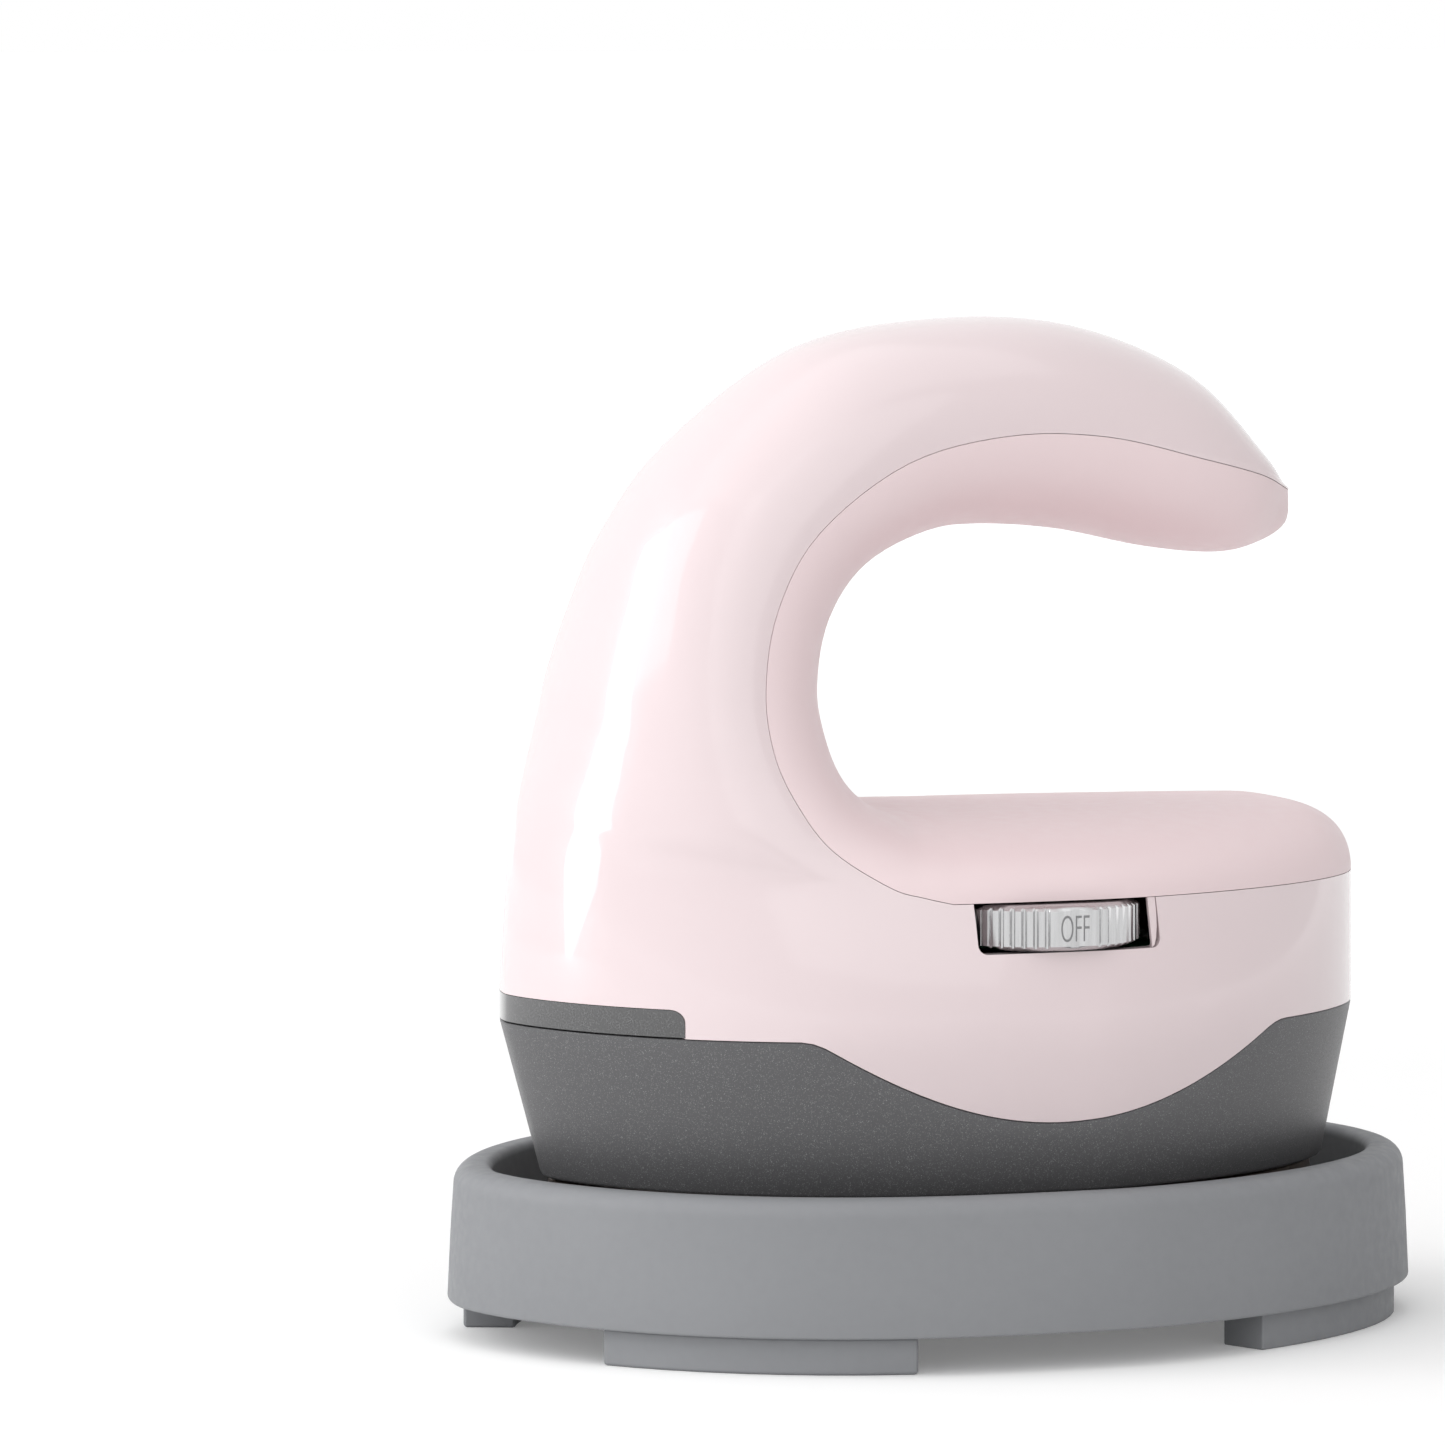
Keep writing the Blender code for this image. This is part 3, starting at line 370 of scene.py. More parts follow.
def metalFinish(name, colour, deeper, roughness, stretch=(1.0, 1.0, 1.0), scale=400.0):  # brushed or satin
    made, tree, shader = newFinish(name, colour, roughness, 1.0)
    brush = noiseValue(tree, objectPlace(tree, stretch), scale, 5.0, brushLook["grain"])
    feed(tree, shader, {
        "Base Color": mixed(tree, between(tree, brush, 0.0, 1.0), colour, deeper),
        "Roughness": varied(tree, brush, roughness, spreadLook["metal"]),
    })
    addBump(tree, shader, brush, brushLook)
    return made


plateLook = {
    "colour": (0.86, 0.80, 0.75), "roughness": 0.5,
    "grainScale": 1500.0, "grain": 0.7, "grainReach": (0.4, 0.62),
    "coat": (0.90, 0.83, 0.77), "coatDeep": (0.78, 0.68, 0.62), "coatRoughness": 0.55,
    "speckScale": 1400.0, "speckReach": (0.08, 0.25), "speck": (0.45, 0.36, 0.33),
    "brushScale": 900.0, "metal": (0.42, 0.35, 0.31), "metalDeep": (0.30, 0.245, 0.215),
    "metalRoughness": 0.33, "coatEnds": (18.45 * mm, 18.55 * mm), "bump": 0.25, "depth": 0.02 * mm,
}


def plateFinish(name, look):  # speckled ceramic coat on the face, bare bronze coloured metal above it
    made, tree, shader = newFinish(name, look["colour"], look["roughness"])
    place = objectPlace(tree)
    grain = noiseValue(tree, place, look["grainScale"], 5.0, look["grain"])
    grain = between(tree, grain, 0.0, 1.0, *look["grainReach"])
    cells = cellDistance(tree, place, look["speckScale"])
    speck = between(tree, cells, 0.5, 0.0, *look["speckReach"])
    coat = mixed(tree, speck, mixed(tree, grain, look["coat"], look["coatDeep"]), look["speck"])
    brush = between(tree, noiseValue(tree, place, look["brushScale"], 5.0, look["grain"]), 0.0, 1.0)
    metal = mixed(tree, brush, look["metal"], look["metalDeep"])
    height = addNode(tree, "SeparateXYZ", {"Vector": place}).outputs["Z"]
    bare = between(tree, height, 0.0, 1.0, *look["coatEnds"])
    feed(tree, shader, {
        "Base Color": mixed(tree, bare, coat, metal),
        "Metallic": bare,
        "Roughness": between(tree, bare, look["coatRoughness"], look["metalRoughness"], 0.0, 1.0),
    })
    addBump(tree, shader, grain, look)
    return made


boardLook = {
    "colour": (0.02, 0.16, 0.06), "roughness": 0.35, "trackScale": 260.0, "trackWidth": 0.06,
    "field": (0.016, 0.14, 0.05), "fieldPale": (0.024, 0.19, 0.075), "track": (0.05, 0.32, 0.14),
    "weaveScale": 2200.0, "weaveShare": 0.35, "weave": (0.03, 0.22, 0.09), "bump": 0.2, "depth": 0.03 * mm,
}


def boardFinish(name, look):  # circuit board: green lacquer over tracks, with a weave below
    made, tree, shader = newFinish(name, look["colour"], look["roughness"])
    place = objectPlace(tree)
    tracks = addNode(tree, "TexBrick", {
        "Vector": place, "Scale": look["trackScale"], "Mortar Size": look["trackWidth"],
        "Color1": look["field"], "Color2": look["fieldPale"], "Mortar": look["track"],
    })
    weave = between(tree, noiseValue(tree, place, look["weaveScale"], 2.0), 0.0, look["weaveShare"])
    feed(tree, shader, {"Base Color": mixed(tree, weave, tracks.outputs["Color"], look["weave"])})
    addBump(tree, shader, tracks.outputs["Fac"], look)
    return made


micaLook = {
    "colour": (0.70, 0.62, 0.47), "roughness": 0.6, "flakeScale": 420.0, "flakeReach": (0.1, 0.6),
    "pale": (0.76, 0.69, 0.55), "deep": (0.58, 0.49, 0.35), "bump": 0.3, "depth": 0.05 * mm,
}


def micaFinish(name, look):  # layered board with flakes
    made, tree, shader = newFinish(name, look["colour"], look["roughness"])
    flakes = cellDistance(tree, objectPlace(tree), look["flakeScale"])
    share = between(tree, flakes, 0.0, 1.0, *look["flakeReach"])
    feed(tree, shader, {"Base Color": mixed(tree, share, look["pale"], look["deep"])})
    addBump(tree, shader, flakes, look)
    return made


glossLook = {
    "roughness": 0.22, "cloudScale": 22.0, "smudgeScale": 140.0, "grainScale": 90.0,
    "bump": 0.02, "depth": 0.1 * mm, "coat": 0.9,
}
satinLook = {
    "roughness": 0.42, "cloudScale": 26.0, "smudgeScale": 500.0, "grainScale": 5200.0,
    "bump": 0.25, "depth": 0.02 * mm, "coat": 0.0,
}
siliconeLook = dict(
    satinLook, roughness=0.62, cloudScale=30.0, smudgeScale=700.0, grainScale=3600.0, bump=0.3)
whiteLook = dict(
    satinLook, roughness=0.5, cloudScale=40.0, smudgeScale=600.0, grainScale=3000.0, bump=0.2)
blackLook = dict(whiteLook, roughness=0.45)
clearLook = dict(whiteLook, roughness=0.12, bump=0.05)
smokedLook = {
    "roughness": 0.1, "fleckScale": 4800.0, "fleckSize": 0.5, "grainScale": 3600.0,
    "bump": 0.04, "depth": 0.02 * mm, "coat": 1.0, "ior": 1.75,
}
graphiteLook = {
    "roughness": 0.44, "fleckScale": 5600.0, "fleckSize": 0.42, "grainScale": 3000.0,
    "bump": 0.3, "depth": 0.02 * mm,
}
padLook = {
    "roughness": 0.75, "fleckScale": 1500.0, "fleckSize": 0.3, "grainScale": 1800.0,
    "bump": 0.4, "depth": 0.04 * mm,
}

finishLook = {
    "pinkGloss": (glossFinish, (0.79, 0.665, 0.68), (0.775, 0.65, 0.665), glossLook),
    "pinkSatin": (glossFinish, (0.865, 0.708, 0.722), (0.85, 0.693, 0.707), satinLook),
    "smoked": (fleckFinish, (0.02, 0.02, 0.022), (0.14, 0.14, 0.145), smokedLook),
    "standGrey": (glossFinish, (0.265, 0.271, 0.284), (0.25, 0.256, 0.269), siliconeLook),
    "graphite": (fleckFinish, (0.105, 0.105, 0.109), (0.36, 0.36, 0.365), graphiteLook, 0.1),
    "padGrey": (fleckFinish, (0.085, 0.085, 0.09), (0.2, 0.2, 0.2), padLook),
    "steel": (metalFinish, (0.62, 0.63, 0.65), (0.46, 0.47, 0.49), 0.34),
    "silver": (metalFinish, (0.60, 0.60, 0.605), (0.52, 0.52, 0.525), 0.24, (1, 1, 0.03), 1500.0),
    "frameWhite": (glossFinish, (0.78, 0.77, 0.74), (0.74, 0.73, 0.70), whiteLook),
    "black": (glossFinish, (0.03, 0.03, 0.032), (0.045, 0.045, 0.047), blackLook),
    "clear": (glossFinish, (0.80, 0.83, 0.84), (0.76, 0.79, 0.80), clearLook),
    "leadWhite": (glossFinish, (0.82, 0.81, 0.78), (0.76, 0.75, 0.72), whiteLook),
    "mark": (glossFinish, (0.22, 0.22, 0.225), (0.26, 0.26, 0.265), blackLook),
    "plateCoat": (plateFinish, plateLook),
    "boardGreen": (boardFinish, boardLook),
    "mica": (micaFinish, micaLook),
}
finishes = {name: make(name, *values) for name, (make, *values) in finishLook.items()}
print("finishes made")


# Floor, light and camera

viewLook = {
    "turn": -22.45,
    "tilt": 6.17,
    "distance": 1.201,
    "target": (0.0, 0.0, 0.045),
    "focal": 9058.0,
    "frame": 1445.0,
    "targetAt": (929.6, 981.3),
    "sensor": 36.0,
    "nearest": 0.05,
    "farthest": 100.0,
}


def beamAlong(turn, tilt):  # unit direction from the object towards a viewer
    return Vector((math.sin(turn) * math.cos(tilt), -math.cos(turn) * math.cos(tilt), math.sin(tilt)))


def makeCamera():
    turn = math.radians(viewLook["turn"])
    tilt = math.radians(viewLook["tilt"])
    across = viewLook["targetAt"][0] - viewLook["frame"] / 2
    down = viewLook["targetAt"][1] - viewLook["frame"] / 2
    reach = math.sqrt(across ** 2 + down ** 2 + viewLook["focal"] ** 2)
    aimTurn = turn + math.asin(across / (reach * math.cos(tilt)))
    axis = beamAlong(aimTurn, tilt - math.asin(down / reach))
    right = Vector((math.cos(aimTurn), math.sin(aimTurn), 0.0))
    up = axis.cross(right)
    lens = bpy.data.cameras.new("photoView")
    lens.sensor_width = viewLook["sensor"]
    lens.sensor_fit = "HORIZONTAL"
    lens.lens = viewLook["focal"] / viewLook["frame"] * lens.sensor_width
    lens.clip_start = viewLook["nearest"]
    lens.clip_end = viewLook["farthest"]
    camera = placed("photoView", lens)
    place = Vector(viewLook["target"]) + beamAlong(turn, tilt) * viewLook["distance"]
    camera.matrix_world = Matrix.Translation(place) @ Matrix((right, up, axis)).transposed().to_4x4()
    bpy.context.scene.camera = camera


floorLook = {
    "size": 60.0,
    "squares": 8,
    "white": 0.86,
    "roughness": 0.9,
    "glow": 0.17,  # near the object, and farGlow past farReach
    "farGlow": 0.75,
    "nearReach": 0.3,
    "farReach": 2.5,
}


def makeFloor():
    look = floorLook
    work = bmesh.new()
    squares = look["squares"]
    bmesh.ops.create_grid(work, x_segments=squares, y_segments=squares, size=look["size"] / 2)
    made, tree, shader = newFinish("floorWhite", (look["white"],) * 3, look["roughness"])
    rays = addNode(tree, "LightPath", {})
    seen = combined(tree, "MAXIMUM", rays.outputs["Is Camera Ray"], rays.outputs["Is Glossy Ray"])
    away = addNode(tree, "VectorMath", {0: objectPlace(tree)}, "LENGTH").outputs["Value"]
    far = between(tree, away, look["glow"], look["farGlow"], look["nearReach"], look["farReach"])
    glow = addNode(tree, "Emission", {"Strength": combined(tree, "MULTIPLY", seen, far)})
    both = addNode(tree, "AddShader", {0: shader.outputs[0], 1: glow.outputs[0]})
    feed(tree, shader, {"Specular IOR Level": 0.0})
    feed(tree, tree.nodes["Material Output"], {"Surface": both.outputs[0]})
    floor = placed("floor", meshOf("floor", work))
    floor.data.materials.append(made)


skyLook = {  # a light tent, brighter towards one side
    "brightSide": (-0.918, -0.129, 0.375),
    "dimFrom": -0.75,
    "dim": 0.105,
    "bright": 1.21,
}


def makeWorld():
    look = skyLook
    world = bpy.data.worlds.new("studio")
    bpy.context.scene.world = world
    world.use_nodes = True
    tree = world.node_tree
    place = addNode(tree, "TexCoord", {}).outputs["Generated"]
    towards = addNode(tree, "VectorMath", {0: place, 1: look["brightSide"]}, "DOT_PRODUCT").outputs["Value"]
    light = between(tree, towards, look["dim"], look["bright"], look["dimFrom"], 1.0)
    soft = tree.nodes["Background"]
    feed(tree, soft, {"Color": (1.0, 1.0, 1.0), "Strength": light})
    white = addNode(tree, "Background", {"Color": (1.0, 1.0, 1.0), "Strength": 1.0})
    rays = addNode(tree, "LightPath", {})
    seen = combined(tree, "MAXIMUM", rays.outputs["Is Camera Ray"], rays.outputs["Is Transmission Ray"])
    seen = combined(tree, "MAXIMUM", seen, rays.outputs["Is Glossy Ray"])
    mix = addNode(tree, "MixShader", {0: seen, 1: soft.outputs[0], 2: white.outputs[0]})
    feed(tree, tree.nodes["World Output"], {"Surface": mix.outputs[0]})


lampLook = {  # place, aim, width, height, turn about the beam, watts
    "window": ((-0.948, 0.301, 0.397), (0.0, 0.0, 0.07), 0.26, 0.85, 25.7, 2.6),
    "windowSide": ((-0.873, 0.087, 0.699), (0.0, 0.0, 0.07), 0.46, 0.46, 25.7, 0.8),
    "fore": ((-0.254, -1.806, 1.28), (0.0, 0.0, 0.05), 2.0, 2.0, 0.0, 7.0),
    "over": ((-0.216, -0.079, 2.238), (0.0, 0.0, 0.05), 2.4, 2.4, 0.0, 7.1),
}


def makeLamps():
    for name, (place, aim, width, height, turn, watts) in lampLook.items():
        light = bpy.data.lights.new(name, "AREA")
        light.shape = "RECTANGLE"
        light.size = width
        light.size_y = height
        light.energy = watts
        lamp = placed(name, light)
        lamp.location = place
        beam = (Vector(aim) - Vector(place)).to_track_quat("-Z", "Y").to_matrix()
        lamp.rotation_euler = (beam @ Matrix.Rotation(math.radians(turn), 3, "Z")).to_euler()


makeCamera()
makeFloor()
makeWorld()
makeLamps()
bpy.context.scene.view_settings.view_transform = "Standard"
print("floor, light and camera made")


# Stand: tray, feet and rest pad

standForm = {
    "bottom": 4.85 * mm,
    "height": 17.65 * mm,
    "floorTop": 7.45 * mm,
    "reach": 13.25 * mm,
    "lean": 0.8 * mm,
    "rim": 3.95 * mm,
    "draft": 0.6 * mm,
    "rimRound": 2.6 * mm,
    "innerRound": 1.2 * mm,
    "lowerRound": 0.4 * mm,
    "floorRound": 1.0 * mm,
    "rimSteps": 8,
    "innerSteps": 5,
    "roundSteps": 4,
    "footInset": 1.8 * mm,
    "footWidth": 7.0 * mm,
    "footRound": 0.5 * mm,
    "footFineness": 4,
    "footEvery": 12,
    "footEnds": {
        "nose.left": (-0.52, -0.19), "nose.right": (-0.572, -0.19),
        "heel.left": (0.276, 0.566), "heel.right": (0.276, 0.566),
    },
    "padMargin": 3.0 * mm,
    "padBase": 3.0 * mm,
    "padTop": 17.9 * mm,
    "padRound": 0.6 * mm,
    "rib": 6.0 * mm,
    "ribs": 5,
}


def levelRing(offset, height):
    return [planOffset(turn, offset, height) for turn in ringTurns()]


def quarter(steps):  # shares across and up a quarter round
    turns = [math.pi / 2 * step / steps for step in range(steps + 1)]
    return [(1 - math.cos(turn), math.sin(turn)) for turn in turns]


def roundRings(ring, offset, height, reach, rise, shares):  # rings through a quarter round
    return [ring(offset + reach * across, height + rise * (1 - up)) for across, up in shares]


def makeTray():
    form = standForm
    low, lean = form["bottom"], form["lean"]
    top = low + form["height"]
    outerTop = form["reach"] - lean
    small = form["lowerRound"]
    rings = roundRings(levelRing, form["reach"], low, -small, small, quarter(form["roundSteps"])[::-1])
    rings.append(levelRing(form["reach"] - lean / 2, low + form["height"] / 2))
    small = form["rimRound"]
    rings += roundRings(levelRing, outerTop, top, -small, -small, quarter(form["rimSteps"]))
    small = form["innerRound"]
    inner = outerTop - form["rim"] - small
    rings += roundRings(levelRing, inner, top, small, -small, quarter(form["innerSteps"])[::-1])
    small = form["floorRound"]
    inner -= form["draft"]
    rings += roundRings(levelRing, inner, form["floorTop"], -small, small, quarter(form["roundSteps"]))
    addPiece("tray", ringWork(rings), "standGrey", "stand", "stand_grey", "stand_tray")


def makeFeet():
    form = standForm
    reach = form["reach"] - form["footInset"]
    for name, (startShare, endShare) in form["footEnds"].items():
        sign = -1 if name.endswith("left") else 1
        chosen = [turn for turn in ringTurns(columns * form["footFineness"])
                  if startShare <= planOffset(turn, reach).x / bodyLength <= endShare
                  and math.sin(turn) * sign > 0]
        kept = chosen[::form["footEvery"]] + chosen[-1:]
        outside = [planOffset(turn, reach) for turn in kept]
        inside = [planOffset(turn, reach - form["footWidth"]) for turn in kept]
        work = bmesh.new()
        addSheet(work, [outside, inside])
        made = bmesh.ops.extrude_face_region(work, geom=work.faces[:], use_keep_orig=True)
        raised = [item for item in made["geom"] if isinstance(item, bmesh.types.BMVert)]
        bmesh.ops.translate(work, vec=(0, 0, form["bottom"]), verts=raised)
        node = "stand_foot_" + name.replace(".", "_")
        foot = addPiece("foot." + name, work, "standGrey", "stand", "stand_grey", node)
        softenEdges(foot, form["footRound"])


def makePad():
    form = standForm
    low = form["floorTop"] + gap
    rings = [levelRing(-form["padMargin"], low), levelRing(-form["padMargin"], form["padTop"])]
    pad = addPiece("restPad", ringWork(rings), "padGrey", "stand", "pad_grey", "rest_pad")
    pitch = 2 * form["rib"]
    cutters = []
    for index in range(form["ribs"]):
        middle = widestX - form["rib"] + (index - (form["ribs"] - 1) / 2) * pitch
        share = abs(middle - widestX) / heelX
        half = bodyWidth / 2 * math.sqrt(1 - share * share) - form["padMargin"] - 2 * form["rib"]
        start = (middle - form["rib"] / 2, -half, low + form["padBase"])
        end = (middle + form["rib"] / 2, half, form["padTop"] + overrun)
        cutters.append(boxCutter(f"pocket{index}", start, end))
    cutWith(pad, cutters)
    softenEdges(pad, form["padRound"])


makeTray()
makeFeet()
makePad()
print("stand made")


# Hot plate: coated face, bare edge and screw bosses

plateForm = {
    "face": 18.2 * mm,
    "edge": 2.8 * mm,
    "body": 6.0 * mm,
    "step": 2.6 * mm,
    "round": 0.5 * mm,
    "roundSteps": 5,
    "chamfer": 0.2 * mm,
    "bossTop": 31.2 * mm,
    "bossSink": 1.0 * mm,
    "bossSteps": 32,
    "boss": 4.2 * mm,
    "bore": 1.8 * mm,
    "bossX": 0.285,
    "noseY": 0.282,
    "heelY": 0.308,
}


def bossPlaces():
    x = bodyLength * plateForm["bossX"]
    noseY = bodyWidth * plateForm["noseY"]
    heelY = bodyWidth * plateForm["heelY"]
    return [(-x, -noseY), (-x, noseY), (x, -heelY), (x, heelY)]


def makePlate():
    form = plateForm
    face, small = form["face"], form["round"]
    edgeTop = face + form["edge"]
    bodyTop = face + form["body"]
    rings = roundRings(levelRing, 0.0, face, -small, small, quarter(form["roundSteps"])[::-1])
    rings.append(levelRing(0.0, edgeTop - form["chamfer"]))
    rings.append(levelRing(-form["chamfer"], edgeTop))
    rings.append(levelRing(-form["step"], edgeTop))
    rings.append(levelRing(-form["step"], bodyTop))
    work = ringWork(rings)
    low, top = bodyTop - form["bossSink"], form["bossTop"]
    corners = [(form["boss"], low), (form["boss"], top), (form["bore"], top), (form["bore"], low)]
    for x, y in bossPlaces():
        addTurned(work, x, y, corners, form["bossSteps"])
    addPiece("plate", work, "plateCoat", "press", "ceramic", "hot_plate")


def addTurned(work, x, y, profile, steps):  # a closed profile spun about an upright axis
    verts = [work.verts.new((x + radius, y, height)) for radius, height in profile]
    edges = [work.edges.new(pair) for pair in zip(verts, verts[1:] + verts[:1])]
    bmesh.ops.spin(
        work, geom=verts + edges, cent=(x, y, 0), axis=(0, 0, 1), angle=math.tau, steps=steps,
        use_merge=True)


makePlate()
print("hot plate made")


# Skirt: the graphite lower housing

skirtForm = {
    "bottom": 21.3 * mm,
    "floorBottom": 33.7 * mm,
    "floorTop": 35.7 * mm,
    "lipWall": 1.6 * mm,
    "lipRise": 2.0 * mm,
    "noseLipRise": 0.1 * mm,
    "edgeRound": 0.5 * mm,
    "edgeSteps": 4,
    "topRound": 0.3 * mm,
    "topSteps": 3,
    "levels": (0.25, 0.5, 0.75),
}


def makeSkirt():
    form = skirtForm
    lap = wall + gap
    noseEnd = bodyNose + windowForm["reach"] + wall
    turns = ringTurns()

    def skirtTop(turn):
        return lobeLine(planPoint(turn).x) - seamGap

    def wallRing(inset, height):
        return [sidePoint(turn, height, inset) for turn in turns]

    def edgeRing(inset, lower=0.0):
        return [sidePoint(turn, skirtTop(turn) - lower, inset) for turn in turns]

    def lipRing(inset):
        ring = []
        for turn in turns:
            rise = form["noseLipRise"] if planPoint(turn).x < noseEnd else form["lipRise"]
            ring.append(sidePoint(turn, parting + rise, inset))
        return ring

    low = form["bottom"]
    rings = [wallRing(lap + form["lipWall"], form["floorBottom"]), wallRing(wall, low)]
    small = form["edgeRound"]
    rings += roundRings(wallRing, 0.0, low, small, small, quarter(form["edgeSteps"])[::-1])
    for share in form["levels"]:
        rings.append([sidePoint(turn, low + (skirtTop(turn) - low) * share) for turn in turns])
    small = form["topRound"]
    rings += roundRings(edgeRing, 0.0, 0.0, small, small, quarter(form["topSteps"]))
    rings.append(edgeRing(lap))
    rings.append(lipRing(lap))
    rings.append(lipRing(lap + form["lipWall"]))
    rings.append(wallRing(lap + form["lipWall"], form["floorTop"]))
    addPiece("skirt", ringWork(rings), "graphite", "press", "graphite", "lower_housing")


windowForm = {
    "rise": 3.7 * mm,
    "reach": 13.6 * mm,
    "wall": 2.0 * mm,
    "corner": 1.6 * mm,
    "edge": 0.25 * mm,
    "fineness": 6,
    "spare": 8 * mm,
    "trim": 5 * mm,
    "trimLength": 40 * mm,
    "levels": (0.0, 0.33, 0.67, 1.0),
}


def makeWindow():  # smoked band round the nose
    form = windowForm
    low = parting + gap / 2
    high = parting + form["rise"] - seamGap
    end = bodyNose + form["reach"] - seamGap
    corner = form["corner"]
    fine = ringTurns(columns * form["fineness"])
    turns = [turn for turn in fine if planPoint(turn).x < end + form["spare"]]
    work = bmesh.new()
    tag = work.verts.layers.int.new("place")

    def windowRows(inset):  # the upper edge drops in a rounded corner at both ends
        rows = []
        for share in form["levels"]:
            row = []
            for turn in turns:
                past = min(corner, max(0.0, sidePoint(turn, high).x - end + corner))
                top = high - corner + math.sqrt(corner ** 2 - past ** 2)
                row.append(sidePoint(turn, low + (top - low) * share, inset))
            rows.append(row)
        return rows

    outer = windowRows(0.0)
    inner = windowRows(form["wall"])
    addSheet(work, outer, tag)
    thicken(work, [point for row in inner for point in row], tag)
    piece = addPiece("window", work, "smoked", "press", "smoked", "indicator_window")
    start = (end, -bodyWidth, low - form["trim"])
    far = (end + form["trimLength"], bodyWidth, high + form["trim"])
    cutWith(piece, [boxCutter("windowReach", start, far)])
    softenEdges(piece, form["edge"])


makeSkirt()
makeWindow()
print("skirt and window made")


# Glossy outer shell and satin cover, which share their seam

handleForm = {
    "shares": (  # seam x z, ridge x z and inner x z as shares of length and rise, then the half width
        (0.362, 0.012, 0.004, 0.102, 0.419, 0.131, 0.950),
        (0.327, 0.030, 0.0105, 0.154, 0.396, 0.138, 0.922),
        (0.269, 0.093, 0.024, 0.229, 0.365, 0.167, 0.850),
        (0.237, 0.169, 0.037, 0.296, 0.342, 0.211, 0.785),
        (0.217, 0.257, 0.052, 0.378, 0.330, 0.280, 0.722),
        (0.216, 0.368, 0.079, 0.497, 0.328, 0.364, 0.650),
        (0.240, 0.504, 0.116, 0.629, 0.349, 0.475, 0.577),
        (0.297, 0.636, 0.191, 0.786, 0.398, 0.564, 0.520),
        (0.408, 0.753, 0.339, 0.951, 0.478, 0.619, 0.478),
        (0.533, 0.798, 0.509, 1.000, 0.551, 0.631, 0.457),
        (0.654, 0.793, 0.667, 0.985, 0.654, 0.618, 0.447),
        (0.772, 0.751, 0.804, 0.899, 0.762, 0.583, 0.426),
        (0.857, 0.718, 0.884, 0.767, 0.846, 0.570, 0.345),
        (0.909, 0.690, 0.915, 0.704, 0.898, 0.585, 0.195),
        (0.924, 0.681, 0.932, 0.688, 0.931, 0.613, 0.123),
        (0.929, 0.673, 0.929, 0.673, 0.941, 0.649, 0.000),
    ),
    "rise": 73.7 * mm,
    "throatLean": 5.2 * mm,
    "throatRise": 0.3 * mm,
    "ellipseShare": 0.5625,
    "deckRise": 9.2 * mm,
    "deckRound": 11.3 * mm,
    "edge": 0.07 * mm,
    "steps": 6,
    "carryHeight": 11.0 * mm,
    "aimSteps": 18,
    "bandRows": 10,
    "acrossCover": 72,
    "seamFlatness": 0.32,
    "tipFlatness": 0.46,
    "acrossPower": 0.95,
    "mostCut": 0.67,
    "leastLeft": 0.33,
    "leastReach": 0.001 * mm,
    "leaving": 0.3,
}
leavingColumn = round(columns * handleForm["leaving"])


def stationRows():
    form = handleForm
    length = bodyHeel - bodyNose
    leaving = sidePoint(ringTurns()[leavingColumn], seamHeight)
    nose = sidePoint(math.pi, seamHeight)
    seamHalf = sidePoint(math.pi / 2, seamHeight).y
    deck = seamHeight + form["deckRise"]
    rows = [(leaving.x, seamHeight, nose.x, seamHeight,
             leaving.x + form["throatLean"], deck + form["throatRise"], leaving.y)]
    for *places, halfShare in form["shares"]:
        row = []
        for xShare, zShare in zip(places[::2], places[1::2]):
            row += [bodyNose + length * xShare, seamHeight + form["rise"] * zShare]
        rows.append((*row, seamHalf * halfShare))
    return rows


def finerRows(rows, steps):
    fine = []
    for index in range(len(rows) - 1):
        before = rows[max(index - 1, 0)]
        after = rows[min(index + 2, len(rows) - 1)]
        for step in range(steps):
            part = step / steps
            fine.append(tuple(
                (2 * s + (e - b) * part + (2 * b - 5 * s + 4 * e - a) * part ** 2
                 + (3 * s - b - 3 * e + a) * part ** 3) / 2
                for b, s, e, a in zip(before, rows[index], rows[index + 1], after)
            ))
    fine.append(rows[-1])
    return fine


def sideBeside(point, inset):  # the side's point at a point's height, in the same direction from the throat
    low, high = ringTurns()[leavingColumn], math.pi
    throatX = sidePoint(low, seamHeight).x
    aim = math.atan2(abs(point.y), throatX - point.x)
    for _ in range(handleForm["aimSteps"]):
        middle = (low + high) / 2
        place = sidePoint(middle, point.z, inset)
        if math.atan2(place.y, throatX - place.x) > aim:
            low = middle
        else:
            high = middle
    return Vector((place.x, math.copysign(place.y, point.y), point.z))


def carried(height):  # how much of the side's slope carries on at a height above the seam
    return 1 - ease((height - seamHeight) / handleForm["carryHeight"])


def handleStations():  # the last steps close as a parabola, so that the end is round
    rows = stationRows()
    steps = handleForm["steps"]
    fine = finerRows(rows, steps)[:-steps - 1]
    for step in range(steps + 1):
        left = 1 - step / steps
        places = [end + (start - end) * left ** 2 for start, end in zip(rows[-2][:-1], rows[-1][:-1])]
        fine.append((*places, rows[-2][-1] * left))
    for number, station in enumerate(fine):  # low down, the seam lies on the press's side
        kept = carried(station[1])
        if kept > 0:
            point = Vector((station[0], station[-1], station[1]))
            point = point.lerp(sideBeside(point, 0.0), kept)
            fine[number] = (point.x, *station[1:-1], point.y)
    return fine


def sectionPlaces(row, shift):
    seam = Vector((row[0], row[1]))
    ridge = Vector((row[2], row[3]))
    inner = Vector((row[4], row[5]))
    return seam + (inner - seam).normalized() * shift, ridge, inner, row[-1]


def shorten(start, end, amount):
    reach = end - start
    if reach.length < handleForm["leastReach"]:
        return end
    return end - reach.normalized() * min(amount, reach.length * handleForm["mostCut"])


